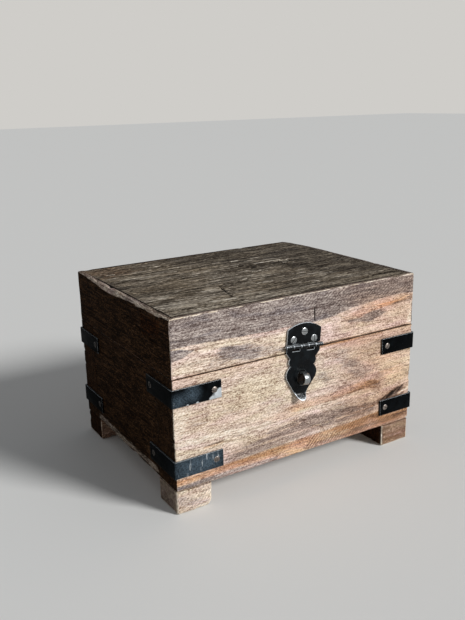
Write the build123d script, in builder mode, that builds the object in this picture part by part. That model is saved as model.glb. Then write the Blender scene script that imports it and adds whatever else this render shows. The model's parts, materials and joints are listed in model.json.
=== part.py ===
from build123d import *
import math
import os

# A small reclaimed-timber chest: a case on four block feet, a deep hinged lid,
# eight bent iron corner straps and an iron hasp over a clenched staple.
# Millimetres. +Z is up, the front faces -Y, and the origin is on the floor
# under the middle of the whole chest, staple and hinge barrels included.

# ---- Driving dimensions: timber ----
chest_length = 320.0
chest_depth = 250.0
plank = 38.0  # thickness of the case boards and the lid rails
case_height = 122.0  # from the top of the feet to the rim
lid_height = 62.0
foot_size = 42.0
foot_height = 27.0
bottom_thickness = 14.0
bottom_lift = 6.0  # underside of the bottom board above the boards' lower edge
groove_depth = 8.0  # how far the bottom board is housed in each board
lid_top_thickness = 20.0
lid_lip = 5.0  # width of rail left outside the lid's rebate
worn_edge = 2.0  # radius worn onto the lid's upper edges
foot_chamfer = 1.5

# ---- Driving dimensions: corner straps ----
strap_width = 19.0
strap_thickness = 1.8
strap_leg_left = 55.0  # along the front, from the left corner
strap_leg_right = 48.0  # along the front, from the right corner
strap_leg_end = 56.0  # along the ends of the chest
strap_leg_back = 50.0
strap_drop = 10.0  # upper straps, below the rim
strap_rise = 15.5  # lower straps, above the boards' lower edge
strap_screw_inset = 8.0  # screw centre from the end of a leg

# ---- Driving dimensions: hasp ----
hasp_offset = -1.8  # from the middle of the chest, along X
hasp_axis_rise = 5.4  # hinge line above the rim
hasp_tilt = 5.2  # degrees that the hasp leans, right end down
hasp_barrel_length = 48.4
hasp_barrel_radius = 2.4
hasp_pin_radius = 1.2
hasp_pin_overhang = 0.8  # past each end of the barrel
hasp_knuckle_count = 5
hasp_sheet = 1.6  # thickness of plate and strap
plate_half_width = 22.3
plate_side_height = 18.7  # heights above the hinge line
plate_height = 25.5
plate_corner = 1.5
plate_screw_high = 15.8
plate_screw_spread = 13.6
plate_screw_web = 0.7  # iron left between the lower screws and the barrel
shoulder_half_width = 22.3
shoulder_end = 7.0  # distances down the strap from the hinge line
neck_half_width = 17.0
neck_end = 13.6
bead_half_width = 18.2
bead_middle = 17.8
waist_half_width = 15.4
waist = 22.2
spade_rise_half_width = 19.4
spade_rise = 27.2
spade_half_width = 20.4
spade_middle = 31.6
spade_end_half_width = 19.2
spade_end = 36.5
tip_half_width = 6.6
tip_round = 5.0  # length of the rounded end
tip_length = 60.0
curl_start = 49.0
curl_radius = 10.0
curl_angle = 48.0
slot_half_width = 5.5
slot_half_length = 9.0
window_depth = 5.6  # foot of the windows under the plate's knuckles

# ---- Driving dimensions: staple ----
staple_drop = 36.0  # middle of the eye below the hasp's hinge line
staple_offset = 1.0  # middle of the eye from the hasp's middle line
staple_radius = 7.0  # outside of the eye
staple_thickness = 1.8
staple_width = 7.0
staple_reach = 13.0  # how far the eye stands out of the front
clench_length = 8.0

# ---- Driving dimensions: rear hinges ----
hinge_strap_gap = 8.0  # from the end of a rear strap to the hinge
hinge_length = 50.0
hinge_leaf_height = 24.0
hinge_leaf_corner = 2.0
hinge_sheet = 1.5
hinge_knuckle_radius = 3.0
hinge_pin_radius = 1.5
hinge_pin_overhang = 0.8
hinge_knuckle_count = 5
hinge_screw_spread = 16.0
hinge_screw_height = 11.5
hinge_screw_stagger = 4.5  # the middle screw sits further from the pin

# ---- Driving dimensions: screws ----
strap_screw_head = 3.3  # radii of heads and shanks
strap_screw_shank = 1.6
strap_screw_length = 20.0
plate_screw_head = 3.9
plate_screw_shank = 1.9
plate_screw_length = 20.0
foot_screw_head = 4.5
foot_screw_shank = 2.3
foot_screw_bite = 31.0  # how far a foot screw reaches into the board above
foot_screw_recess = 3.0
driver_slot_width = 0.9
driver_slot_depth = 1.1
head_dome = 0.7  # how far a screw head stands above its iron
slot_turn = 47.0  # degrees that each screw's slot is turned on from the last
countersink = 90.0  # degrees across a screw head's cone

# ---- Clearances ----
lid_gap = 0.3  # between rim and lid
panel_play = 0.3  # round the bottom board and the lid's top board
screw_play = 0.06
pin_play = 0.05
knuckle_gap = 0.3  # between neighbouring knuckles, and round each of them
hasp_standoff = 0.4  # between the hanging strap and the front board
staple_play = 0.15  # between the staple's legs and their slots

# ---- Levels and sizes worked out from them ----
hinge_pin_out = hinge_knuckle_radius + knuckle_gap
case_middle = (staple_reach - hinge_pin_out - hinge_knuckle_radius) / 2  # along Y
front = case_middle - chest_depth / 2
back = case_middle + chest_depth / 2
rim = foot_height + case_height
lid_base = rim + lid_gap
lid_level = lid_base + lid_height
rebate_level = lid_level - lid_top_thickness
inner_length = chest_length - 2 * plank
inner_depth = chest_depth - 2 * plank
bottom_level = foot_height + bottom_lift
foot_screw_length = foot_height - foot_screw_recess + foot_screw_bite

# ---- Planes of the hasp ----
lean = math.radians(hasp_tilt)
hasp_across = Vector(math.cos(lean), 0, -math.sin(lean))
hasp_origin = Vector(hasp_offset, front, rim + hasp_axis_rise)
# Face on: local x runs across the hasp, y up it, z out of the chest.
hasp_face = Plane(origin=hasp_origin, x_dir=hasp_across, z_dir=(0, -1, 0))
# From the side: local x runs out of the chest, y down the hasp, z across it.
hasp_side = Plane(origin=hasp_origin, x_dir=(0, -1, 0), z_dir=hasp_across)
hasp_pin_out = hasp_barrel_radius + knuckle_gap
plate_screw_low = hasp_pin_out + plate_screw_web + plate_screw_head

# ---- Places of the rear hinges ----
hinge_centre = chest_length / 2 - strap_leg_back - hinge_strap_gap - hinge_length / 2
hinge_sides = {"left": -hinge_centre, "right": hinge_centre}
hinge_level = rim + lid_gap / 2

# ---- Corners ----
# For each corner: its side in X and Y, the direction that its plane's x takes away
# from it along one face, and the strap legs along that face and the other.
corners = {
    "front_left": ((-1, -1), (1, 0, 0), (strap_leg_left, strap_leg_end)),
    "front_right": ((1, -1), (0, 1, 0), (strap_leg_end, strap_leg_right)),
    "rear_right": ((1, 1), (-1, 0, 0), (strap_leg_back, strap_leg_end)),
    "rear_left": ((-1, 1), (0, -1, 0), (strap_leg_end, strap_leg_back)),
}
strap_levels = {"upper": case_height - strap_drop - strap_width, "lower": strap_rise}


def plane_at(height):
    """The level plane at this height, centred on the case."""
    return Plane(origin=(0, case_middle, height), x_dir=(1, 0, 0), z_dir=(0, 0, 1))


def corner_plane(corner):
    """The plane of one corner, at the case boards' lower edge."""
    (side_x, side_y), along, _ = corners[corner]
    place = (side_x * chest_length / 2, case_middle + side_y * chest_depth / 2, foot_height)
    return Plane(origin=place, x_dir=along, z_dir=(0, 0, 1))


def strap_screw_places(corner, level):
    """The two screw places of one strap, on the outside of its legs."""
    plane = corner_plane(corner)
    leg_x, leg_y = corners[corner][2]
    height = strap_levels[level] + strap_width / 2
    on_x = plane.from_local_coords((leg_x - strap_screw_inset, -strap_thickness, height))
    on_y = plane.from_local_coords((-strap_thickness, leg_y - strap_screw_inset, height))
    return [
        Plane(origin=on_x, x_dir=plane.x_dir, z_dir=-plane.y_dir),
        Plane(origin=on_y, x_dir=plane.y_dir, z_dir=-plane.x_dir),
    ]


def hinge_face(side):
    """Face on to one rear hinge from behind: local y up, z out of the back."""
    place = (hinge_sides[side], back, hinge_level)
    return Plane(origin=place, x_dir=(-1, 0, 0), z_dir=(0, 1, 0))


def hinge_screw_places(direction):
    """Both hinges' screw places, above (1) or below (-1) their pins."""
    far = hinge_screw_height + hinge_screw_stagger
    rows = (
        (-hinge_screw_spread, hinge_screw_height),
        (0, far),
        (hinge_screw_spread, hinge_screw_height),
    )
    return [
        Plane(
            origin=hinge_face(side).from_local_coords((x, direction * y, hinge_sheet)),
            x_dir=(-1, 0, 0),
            z_dir=(0, 1, 0),
        )
        for side in hinge_sides
        for x, y in rows
    ]


strap_screw_planes = [
    place
    for corner in corners
    for level in strap_levels
    for place in strap_screw_places(corner, level)
]
plate_screw_planes = [
    Plane(
        origin=hasp_face.from_local_coords((x, y, hasp_sheet)),
        x_dir=hasp_across,
        z_dir=(0, -1, 0),
    )
    for x, y in (
        (0, plate_screw_high),
        (-plate_screw_spread, plate_screw_low),
        (plate_screw_spread, plate_screw_low),
    )
]
case_hinge_screw_planes = hinge_screw_places(-1)
lid_hinge_screw_planes = hinge_screw_places(1)
foot_centres = {
    corner: (
        side_x * (chest_length - foot_size) / 2,
        case_middle + side_y * (chest_depth - foot_size) / 2,
    )
    for corner, ((side_x, side_y), _, _) in corners.items()
}
foot_screw_planes = [
    Plane(origin=(x, y, foot_screw_recess), z_dir=(0, 0, -1))
    for x, y in foot_centres.values()
]


def turned(places):
    """The same places, each turned about its own axis, so no two slots line up."""
    return [place.location * Rotation(0, 0, slot_turn * n) for n, place in enumerate(places)]


def wood_screw(head, shank, length):
    """One slotted screw: its head's rim at the origin, its shank along -Z."""
    dome_radius = (head**2 + head_dome**2) / (2 * head_dome)
    cone = (head - shank) / math.tan(math.radians(countersink / 2))
    with BuildPart() as screw:
        with BuildSketch(Plane.XZ):
            with BuildLine():
                RadiusArc((0, head_dome), (head, 0), dome_radius)
                Polyline((head, 0), (shank, -cone), (shank, 2 * shank - length))
                Polyline((shank, 2 * shank - length), (0, -length), (0, head_dome))
            make_face()
        revolve(axis=Axis.Z)
        with Locations((0, 0, head_dome)):
            Box(2 * head, driver_slot_width, 2 * driver_slot_depth, mode=Mode.SUBTRACT)
    return screw.part


def cut_screw_holes(places, head, shank, length):
    """Cut the countersunk holes that one kind of screw needs at these places."""
    with Locations(*places):
        CounterSinkHole(
            shank + screw_play, head + screw_play, length + screw_play, countersink
        )


def knuckle_middles(length, count, first):
    """Middles along the pin of every second knuckle, from the given one on."""
    pitch = length / count
    return [(n + 0.5) * pitch - length / 2 for n in range(first, count, 2)]


# ---- Front and back boards ----
os.makedirs("parts", exist_ok=True)
for name, direction in (("front_board", -1), ("back_board", 1)):
    with BuildPart() as board:
        with BuildSketch(plane_at(foot_height)):
            with Locations((0, direction * (chest_depth - plank) / 2)):
                Rectangle(chest_length, plank)
        extrude(amount=case_height)
        with BuildSketch(plane_at(bottom_level)):
            Rectangle(inner_length + 2 * groove_depth, inner_depth + 2 * groove_depth)
        extrude(amount=bottom_thickness + panel_play, mode=Mode.SUBTRACT)
        if direction < 0:
            with BuildSketch(hasp_face):
                leg = staple_radius - staple_thickness / 2
                with Locations(
                    (staple_offset, leg - staple_drop),
                    (staple_offset, -leg - staple_drop),
                ):
                    Rectangle(
                        staple_width + 2 * staple_play,
                        staple_thickness + 2 * staple_play,
                    )
            extrude(amount=-plank, mode=Mode.SUBTRACT)
        cut_screw_holes(
            strap_screw_planes, strap_screw_head, strap_screw_shank, strap_screw_length
        )
        cut_screw_holes(
            foot_screw_planes, foot_screw_head, foot_screw_shank, foot_screw_length
        )
        cut_screw_holes(
            case_hinge_screw_planes, plate_screw_head, plate_screw_shank, plate_screw_length
        )
    board.part.label = name
    export_step(board.part, f"parts/{name}.step")

# ---- End boards, butted between them ----
for name, direction in (("left_end_board", -1), ("right_end_board", 1)):
    with BuildPart() as end_board:
        with BuildSketch(plane_at(foot_height)):
            with Locations((direction * (chest_length - plank) / 2, 0)):
                Rectangle(plank, inner_depth)
        extrude(amount=case_height)
        with BuildSketch(plane_at(bottom_level)):
            Rectangle(inner_length + 2 * groove_depth, inner_depth)
        extrude(amount=bottom_thickness + panel_play, mode=Mode.SUBTRACT)
        cut_screw_holes(
            strap_screw_planes, strap_screw_head, strap_screw_shank, strap_screw_length
        )
        cut_screw_holes(
            foot_screw_planes, foot_screw_head, foot_screw_shank, foot_screw_length
        )
    end_board.part.label = name
    export_step(end_board.part, f"parts/{name}.step")

# ---- Bottom board, housed in all four ----
with BuildPart() as bottom_board:
    with BuildSketch(plane_at(bottom_level)):
        Rectangle(
            inner_length + 2 * (groove_depth - panel_play),
            inner_depth + 2 * (groove_depth - panel_play),
        )
    extrude(amount=bottom_thickness)
bottom_board.part.label = "bottom_board"
export_step(bottom_board.part, "parts/bottom_board.step")

# ---- Feet ----
for corner, centre in foot_centres.items():
    with BuildPart() as foot:
        with BuildSketch():
            with Locations(centre):
                Rectangle(foot_size, foot_size)
        extrude(amount=foot_height)
        chamfer(foot.faces().sort_by(Axis.Z)[0].edges(), foot_chamfer)
        cut_screw_holes(
            foot_screw_planes, foot_screw_head, foot_screw_shank, foot_screw_length
        )
    foot.part.label = f"{corner}_foot"
    export_step(foot.part, f"parts/{corner}_foot.step")

with BuildPart() as foot_screws:
    with Locations(*turned(foot_screw_planes)):
        add(wood_screw(foot_screw_head, foot_screw_shank, foot_screw_length))
foot_screws.part.label = "foot_screws"
export_step(foot_screws.part, "parts/foot_screws.step")

# ---- Corner straps, bent round the case's corners ----
for corner, (_, _, (leg_x, leg_y)) in corners.items():
    for level, height in strap_levels.items():
        with BuildPart() as strap:
            with BuildSketch(corner_plane(corner).offset(height)) as bend:
                with Locations((-strap_thickness, -strap_thickness)):
                    Rectangle(
                        leg_x + strap_thickness,
                        leg_y + strap_thickness,
                        align=(Align.MIN, Align.MIN),
                    )
                fillet(bend.vertices().sort_by_distance((0, 0))[0], strap_thickness)
                Rectangle(
                    leg_x, leg_y, align=(Align.MIN, Align.MIN), mode=Mode.SUBTRACT
                )
            extrude(amount=strap_width)
            cut_screw_holes(
                strap_screw_places(corner, level),
                strap_screw_head,
                strap_screw_shank,
                strap_screw_length,
            )
        strap.part.label = f"strap_{corner}_{level}"
        export_step(strap.part, f"parts/strap_{corner}_{level}.step")

with BuildPart() as strap_screws:
    with Locations(*turned(strap_screw_planes)):
        add(wood_screw(strap_screw_head, strap_screw_shank, strap_screw_length))
strap_screws.part.label = "strap_screws"
export_step(strap_screws.part, "parts/strap_screws.step")

# ---- Staple: a strip bent to an eye, through the front board and clenched inside ----
with BuildPart() as hasp_staple:
    with BuildSketch(hasp_side.offset(staple_offset)):
        eye_centre = (staple_reach - staple_radius, staple_drop)
        leg_length = eye_centre[0] + plank + staple_thickness
        inside = staple_radius - staple_thickness
        with Locations(eye_centre):
            Circle(staple_radius)
            Rectangle(leg_length, 2 * staple_radius, align=(Align.MAX, Align.CENTER))
            Circle(inside, mode=Mode.SUBTRACT)
            Rectangle(
                leg_length, 2 * inside, align=(Align.MAX, Align.CENTER), mode=Mode.SUBTRACT
            )
        with Locations((-plank, staple_drop + inside)):
            Rectangle(
                staple_thickness,
                staple_thickness + clench_length,
                align=(Align.MAX, Align.MIN),
            )
        with Locations((-plank, staple_drop - inside)):
            Rectangle(
                staple_thickness,
                staple_thickness + clench_length,
                align=(Align.MAX, Align.MAX),
            )
    extrude(amount=staple_width / 2, both=True)
hasp_staple.part.label = "hasp_staple"
export_step(hasp_staple.part, "parts/hasp_staple.step")

# ---- Lid rails, mitred at the corners and rebated for the top board ----
for name, along, span, reach in (
    ("front", (1, 0, 0), chest_length, chest_depth),
    ("right", (0, 1, 0), chest_depth, chest_length),
    ("back", (-1, 0, 0), chest_length, chest_depth),
    ("left", (0, -1, 0), chest_depth, chest_length),
):
    rail_plane = Plane(origin=(0, case_middle, lid_base), x_dir=along, z_dir=(0, 0, 1))
    with BuildPart() as rail:
        with BuildSketch(rail_plane):
            with BuildLine():
                Polyline(
                    (-span / 2, -reach / 2),
                    (span / 2, -reach / 2),
                    (span / 2 - plank, plank - reach / 2),
                    (plank - span / 2, plank - reach / 2),
                    close=True,
                )
            make_face()
        extrude(amount=lid_height)
        outward = Axis((0, 0, 0), -rail_plane.y_dir)
        fillet(rail.faces().sort_by(Axis.Z)[-1].edges().sort_by(outward)[-1], worn_edge)
        with BuildSketch(plane_at(rebate_level)):
            Rectangle(chest_length - 2 * lid_lip, chest_depth - 2 * lid_lip)
        extrude(amount=lid_top_thickness, mode=Mode.SUBTRACT)
        cut_screw_holes(
            plate_screw_planes + lid_hinge_screw_planes,
            plate_screw_head,
            plate_screw_shank,
            plate_screw_length,
        )
    rail.part.label = f"lid_{name}_rail"
    export_step(rail.part, f"parts/lid_{name}_rail.step")

with BuildPart() as lid_top_board:
    with BuildSketch(plane_at(rebate_level)):
        Rectangle(
            chest_length - 2 * (lid_lip + panel_play),
            chest_depth - 2 * (lid_lip + panel_play),
        )
    extrude(amount=lid_top_thickness)
lid_top_board.part.label = "lid_top_board"
export_step(lid_top_board.part, "parts/lid_top_board.step")

# ---- Hasp plate, on the lid: it has every second knuckle, from the second on ----
hasp_pitch = hasp_barrel_length / hasp_knuckle_count
hasp_bore = hasp_pin_radius + pin_play
with BuildPart() as hasp_plate:
    with BuildSketch(hasp_face) as plate_outline:
        with BuildLine():
            Polyline(
                (-plate_half_width, plate_side_height),
                (-plate_half_width, 0),
                (plate_half_width, 0),
                (plate_half_width, plate_side_height),
            )
            ThreePointArc(
                (plate_half_width, plate_side_height),
                (0, plate_height),
                (-plate_half_width, plate_side_height),
            )
        make_face()
        fillet(plate_outline.vertices().group_by(Axis.Y)[-1], plate_corner)
    extrude(amount=hasp_sheet)
    with BuildSketch(hasp_side):
        with Locations((hasp_pin_out, 0)):
            Circle(hasp_barrel_radius)
    extrude(amount=hasp_barrel_length / 2, both=True)
    with Locations(hasp_face.offset(hasp_pin_out)):
        with Locations(
            *[(x, 0) for x in knuckle_middles(hasp_barrel_length, hasp_knuckle_count, 0)]
        ):
            Box(
                hasp_pitch + knuckle_gap,
                2 * hasp_pin_out,
                2 * hasp_pin_out,
                mode=Mode.SUBTRACT,
            )
    with BuildSketch(hasp_side):
        with Locations((hasp_pin_out, 0)):
            Circle(hasp_bore)
    extrude(amount=hasp_barrel_length, both=True, mode=Mode.SUBTRACT)
    cut_screw_holes(
        plate_screw_planes, plate_screw_head, plate_screw_shank, plate_screw_length
    )
hasp_plate.part.label = "hasp_plate"
export_step(hasp_plate.part, "parts/hasp_plate.step")

with BuildPart() as hasp_plate_screws:
    with Locations(*turned(plate_screw_planes)):
        add(wood_screw(plate_screw_head, plate_screw_shank, plate_screw_length))
hasp_plate_screws.part.label = "hasp_plate_screws"
export_step(hasp_plate_screws.part, "parts/hasp_plate_screws.step")

with BuildPart() as hasp_pin:
    with BuildSketch(hasp_side):
        with Locations((hasp_pin_out, 0)):
            Circle(hasp_pin_radius)
    extrude(amount=hasp_barrel_length / 2 + hasp_pin_overhang, both=True)
hasp_pin.part.label = "hasp_pin"
export_step(hasp_pin.part, "parts/hasp_pin.step")

# ---- Hasp strap, with the other knuckles, its slot and its curled tip ----
with BuildPart() as hasp_strap:
    # Its line seen from the side: straight down, then curling outwards.
    with BuildSketch(hasp_side):
        with BuildLine() as strap_line:
            middle = hasp_standoff + hasp_sheet / 2
            hanging = Line((middle, 0), (middle, curl_start))
            curl = JernArc(hanging @ 1, hanging % 1, curl_radius, -curl_angle)
            end_length = (tip_length - (curl @ 1).Y) / math.cos(math.radians(curl_angle))
            PolarLine(curl @ 1, end_length + hasp_sheet, direction=curl % 1)
        trace(line_width=hasp_sheet)
    extrude(amount=shoulder_half_width, both=True)
    # Its outline face on.
    with BuildSketch(hasp_face):
        with BuildLine():
            Polyline(
                (0, 0),
                (shoulder_half_width, 0),
                (shoulder_half_width, -shoulder_end),
                (neck_half_width, -neck_end),
            )
            ThreePointArc(
                (neck_half_width, -neck_end),
                (bead_half_width, -bead_middle),
                (waist_half_width, -waist),
            )
            ThreePointArc(
                (waist_half_width, -waist),
                (spade_rise_half_width, -spade_rise),
                (spade_half_width, -spade_middle),
            )
            Polyline(
                (spade_half_width, -spade_middle),
                (spade_end_half_width, -spade_end),
                (tip_half_width, tip_round - tip_length),
            )
            mirror(about=Plane.YZ)
            ThreePointArc(
                (tip_half_width, tip_round - tip_length),
                (0, -tip_length),
                (-tip_half_width, tip_round - tip_length),
            )
        make_face()
    extrude(amount=tip_length, mode=Mode.INTERSECT)
    with BuildSketch(hasp_side):
        with Locations((hasp_pin_out, 0)):
            Circle(hasp_barrel_radius)
    extrude(amount=hasp_barrel_length / 2, both=True)
    with Locations(hasp_face.offset(hasp_pin_out)):
        with Locations(
            *[
                (x, hasp_pin_out)
                for x in knuckle_middles(hasp_barrel_length, hasp_knuckle_count, 1)
            ]
        ):
            Box(
                hasp_pitch + knuckle_gap,
                hasp_pin_out + window_depth,
                2 * hasp_pin_out,
                align=(Align.CENTER, Align.MAX, Align.CENTER),
                mode=Mode.SUBTRACT,
            )
    with BuildSketch(hasp_side):
        with Locations((hasp_pin_out, 0)):
            Circle(hasp_bore)
    extrude(amount=hasp_barrel_length, both=True, mode=Mode.SUBTRACT)
    with BuildSketch(hasp_face):
        with Locations((staple_offset, -staple_drop)):
            SlotOverall(2 * slot_half_length, 2 * slot_half_width, rotation=90)
    extrude(amount=tip_length, mode=Mode.SUBTRACT)
hasp_strap.part.label = "hasp_strap"
export_step(hasp_strap.part, "parts/hasp_strap.step")

# ---- Rear hinges: the case's leaf has the first knuckle and every second one on ----
hinge_pitch = hinge_length / hinge_knuckle_count
for side, middle_x in hinge_sides.items():
    pin_plane = Plane(
        origin=(middle_x, back + hinge_pin_out, hinge_level), z_dir=(1, 0, 0)
    )
    for owner, edge, others, places in (
        ("case", Align.MAX, 1, case_hinge_screw_planes),
        ("lid", Align.MIN, 0, lid_hinge_screw_planes),
    ):
        with BuildPart() as leaf:
            with BuildSketch(hinge_face(side)) as leaf_outline:
                Rectangle(hinge_length, hinge_leaf_height, align=(Align.CENTER, edge))
                far_side = -1 if edge == Align.MIN else 0
                fillet(leaf_outline.vertices().group_by(Axis.Y)[far_side], hinge_leaf_corner)
            extrude(amount=hinge_sheet)
            with BuildSketch(pin_plane):
                Circle(hinge_knuckle_radius)
            extrude(amount=hinge_length / 2, both=True)
            with Locations(hinge_face(side).offset(hinge_pin_out)):
                with Locations(
                    *[
                        (x, 0)
                        for x in knuckle_middles(hinge_length, hinge_knuckle_count, others)
                    ]
                ):
                    Box(
                        hinge_pitch + knuckle_gap,
                        2 * hinge_pin_out,
                        2 * hinge_pin_out,
                        mode=Mode.SUBTRACT,
                    )
            with BuildSketch(pin_plane):
                Circle(hinge_pin_radius + pin_play)
            extrude(amount=hinge_length, both=True, mode=Mode.SUBTRACT)
            cut_screw_holes(
                places, plate_screw_head, plate_screw_shank, plate_screw_length
            )
        leaf.part.label = f"hinge_{owner}_leaf_{side}"
        export_step(leaf.part, f"parts/hinge_{owner}_leaf_{side}.step")

    with BuildPart() as hinge_pin:
        with BuildSketch(pin_plane):
            Circle(hinge_pin_radius)
        extrude(amount=hinge_length / 2 + hinge_pin_overhang, both=True)
    hinge_pin.part.label = f"hinge_pin_{side}"
    export_step(hinge_pin.part, f"parts/hinge_pin_{side}.step")

for owner, places in (("case", case_hinge_screw_planes), ("lid", lid_hinge_screw_planes)):
    with BuildPart() as hinge_screws:
        with Locations(*turned(places)):
            add(wood_screw(plate_screw_head, plate_screw_shank, plate_screw_length))
    hinge_screws.part.label = f"hinge_{owner}_screws"
    export_step(hinge_screws.part, f"parts/hinge_{owner}_screws.step")
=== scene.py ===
import json
import logging
import math
from collections.abc import Iterable
from dataclasses import dataclass, field, replace
from enum import Enum
from functools import cache, partial

import bpy
import numpy as np
from mathutils import Matrix, Vector

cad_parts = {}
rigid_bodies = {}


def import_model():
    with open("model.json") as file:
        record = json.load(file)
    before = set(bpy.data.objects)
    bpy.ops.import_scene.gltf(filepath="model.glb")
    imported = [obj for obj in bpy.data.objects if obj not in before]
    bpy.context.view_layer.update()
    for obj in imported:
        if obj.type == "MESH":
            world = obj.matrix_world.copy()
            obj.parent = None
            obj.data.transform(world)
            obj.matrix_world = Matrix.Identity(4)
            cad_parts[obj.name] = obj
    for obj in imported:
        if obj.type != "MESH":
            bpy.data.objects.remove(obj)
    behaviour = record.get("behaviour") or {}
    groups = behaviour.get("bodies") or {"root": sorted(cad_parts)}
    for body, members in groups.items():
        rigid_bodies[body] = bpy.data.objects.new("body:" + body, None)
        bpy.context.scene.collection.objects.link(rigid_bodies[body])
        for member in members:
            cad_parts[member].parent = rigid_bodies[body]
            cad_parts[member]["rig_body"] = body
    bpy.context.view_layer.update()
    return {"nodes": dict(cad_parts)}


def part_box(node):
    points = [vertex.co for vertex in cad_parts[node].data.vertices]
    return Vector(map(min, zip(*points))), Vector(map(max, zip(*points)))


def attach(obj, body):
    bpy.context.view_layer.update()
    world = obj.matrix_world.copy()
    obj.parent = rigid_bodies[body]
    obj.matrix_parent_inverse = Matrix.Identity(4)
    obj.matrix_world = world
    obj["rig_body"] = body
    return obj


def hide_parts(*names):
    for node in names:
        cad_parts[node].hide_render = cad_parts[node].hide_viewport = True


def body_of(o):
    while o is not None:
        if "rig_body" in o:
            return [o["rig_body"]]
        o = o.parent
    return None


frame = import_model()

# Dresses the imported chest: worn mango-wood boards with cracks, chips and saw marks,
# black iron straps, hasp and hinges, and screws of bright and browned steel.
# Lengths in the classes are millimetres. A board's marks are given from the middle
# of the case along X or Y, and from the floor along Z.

LOG = logging.getLogger("chest")
MM = 0.001
LONG_SIDE = 620  # pixels of the picture's longer side
SENSOR = 36.0

Socket = bpy.types.NodeSocket
Colour = tuple[float, float, float, float]
Spot = tuple[float, float, float, float]  # a place and its reach
Pair = tuple[float, float]
Triple = tuple[float, float, float]
Box = tuple[np.ndarray, np.ndarray]  # lowest and highest corner


# ---- Small tools ----


def linear(hex_colour: str) -> Colour:
    """Turn an sRGB hex value into linear RGBA.

    Args:
        hex_colour: Six hex digits, such as "c8b49c".

    Returns:
        Linear red, green, blue and an alpha of 1.
    """
    channels = [int(hex_colour[i : i + 2], 16) / 255 for i in (0, 2, 4)]
    rgb = [c / 12.92 if c <= 0.04045 else ((c + 0.055) / 1.055) ** 2.4 for c in channels]
    return rgb[0], rgb[1], rgb[2], 1.0


def add_node(
    tree: bpy.types.NodeTree,
    kind: str,
    settings: dict[str, object] | None = None,
    inputs: dict[str | int, object] | None = None,
) -> bpy.types.Node:
    """Add one shader node with its settings, socket values and links.

    Args:
        tree: The node tree that gets the node.
        kind: Blender's name of the node type, without "ShaderNode".
        settings: Attributes of the node.
        inputs: Input sockets by name or number, each a value or a socket to link from.

    Returns:
        The new node.
    """
    node = tree.nodes.new("ShaderNode" + kind)
    for key, value in (settings or {}).items():
        setattr(node, key, value)
    for key, value in (inputs or {}).items():
        if isinstance(value, bpy.types.NodeSocket):
            tree.links.new(value, node.inputs[key])
        else:
            node.inputs[key].default_value = value
    return node


class Shader:
    """The node tree of a material or of the world, with a short call for each common node.

    Each call returns an output socket, and takes numbers, colours and sockets alike.
    """

    def __init__(self, owner: bpy.types.Material | bpy.types.World) -> None:
        """Start with the owner's tree emptied."""
        owner.use_nodes = True
        self.tree = owner.node_tree
        self.tree.nodes.clear()

    def node(
        self,
        kind: str,
        inputs: dict[str | int, object] | None = None,
        output: str | int = 0,
        **settings: object,
    ) -> Socket:
        """Any node, and one of its outputs."""
        return add_node(self.tree, kind, settings, inputs).outputs[output]

    def place(self) -> Socket:
        """Where a point lies on its object."""
        return self.node("TexCoord", None, "Object")

    def moved(self, place: Socket, **inputs: object) -> Socket:
        """Places moved, turned or scaled."""
        return self.node("Mapping", {"Vector": place, **inputs})

    def painted(self, name: str) -> Socket:
        """A value that the mesh carries."""
        return self.node("Attribute", None, "Fac", attribute_name=name)

    def noise(
        self,
        place: Socket,
        scale: float,
        detail: float,
        roughness: float = 0.5,
        twist: float = 0.0,
    ) -> Socket:
        """Soft noise."""
        inputs = {"Vector": place, "Scale": scale, "Detail": detail, "Roughness": roughness}
        return self.node("TexNoise", {**inputs, "Distortion": twist}, "Fac")

    def math(self, operation: str, *values: object, clamped: bool = False) -> Socket:
        """One step of arithmetic."""
        inputs = dict(enumerate(values))
        return self.node("Math", inputs, operation=operation, use_clamp=clamped)

    def vector_math(self, operation: str, *values: object, output: str = "Value") -> Socket:
        """One step of arithmetic on vectors."""
        return self.node("VectorMath", dict(enumerate(values)), output, operation=operation)

    def total(self, *terms: tuple[object, float]) -> Socket:
        """Add up values, each times its share."""
        total = 0.0
        for value, share in terms:
            total = self.math("MULTIPLY_ADD", value, share, total)
        return total

    def product(self, a: object, b: object) -> Socket:
        """Two values multiplied, and kept from 0 to 1."""
        return self.math("MULTIPLY", a, b, clamped=True)

    def span(
        self,
        value: object,
        low: float = 0.0,
        high: float = 1.0,
        start: object = 0.0,
        end: object = 1.0,
        kind: str = "LINEAR",
    ) -> Socket:
        """Carry the range from low to high over to the one from start to end."""
        inputs = {"Value": value, "From Min": low, "From Max": high, "To Min": start}
        return self.node("MapRange", {**inputs, "To Max": end}, interpolation_type=kind)

    def step(self, value: object, low: float, high: float, end: float = 1.0) -> Socket:
        """Smooth step: 0 at low, end at high, also where high is the lower one."""
        return self.span(value, low, high, 0.0, end, "SMOOTHSTEP")

    def blend(self, share: object, below: object, above: object, mode: str = "MIX") -> Socket:
        """Lay one colour over another by a share."""
        inputs = {"Factor": share, "A": below, "B": above}
        return self.node("Mix", inputs, "Result", data_type="RGBA", blend_type=mode)

    def bump(self, height: Socket, depth: float, strength: float = 1.0) -> Socket:
        """The normal of a surface with this height, as a share of a depth in millimetres."""
        inputs = {"Strength": strength, "Distance": depth * MM, "Height": height}
        return self.node("Bump", inputs)

    def finish(self, colour: object, roughness: object, specular: object, **others: object) -> None:
        """End in a surface with these inputs."""
        inputs = {"Base Color": colour, "Roughness": roughness, "Specular IOR Level": specular}
        surface = self.node("BsdfPrincipled", {**inputs, **others})
        add_node(self.tree, "OutputMaterial", None, {"Surface": surface})


def grained(grain: int, across: float, along: float) -> list[float]:
    """A value for each of three directions, with its own along the grain."""
    values = [across] * 3
    values[grain] = along
    return values


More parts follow.
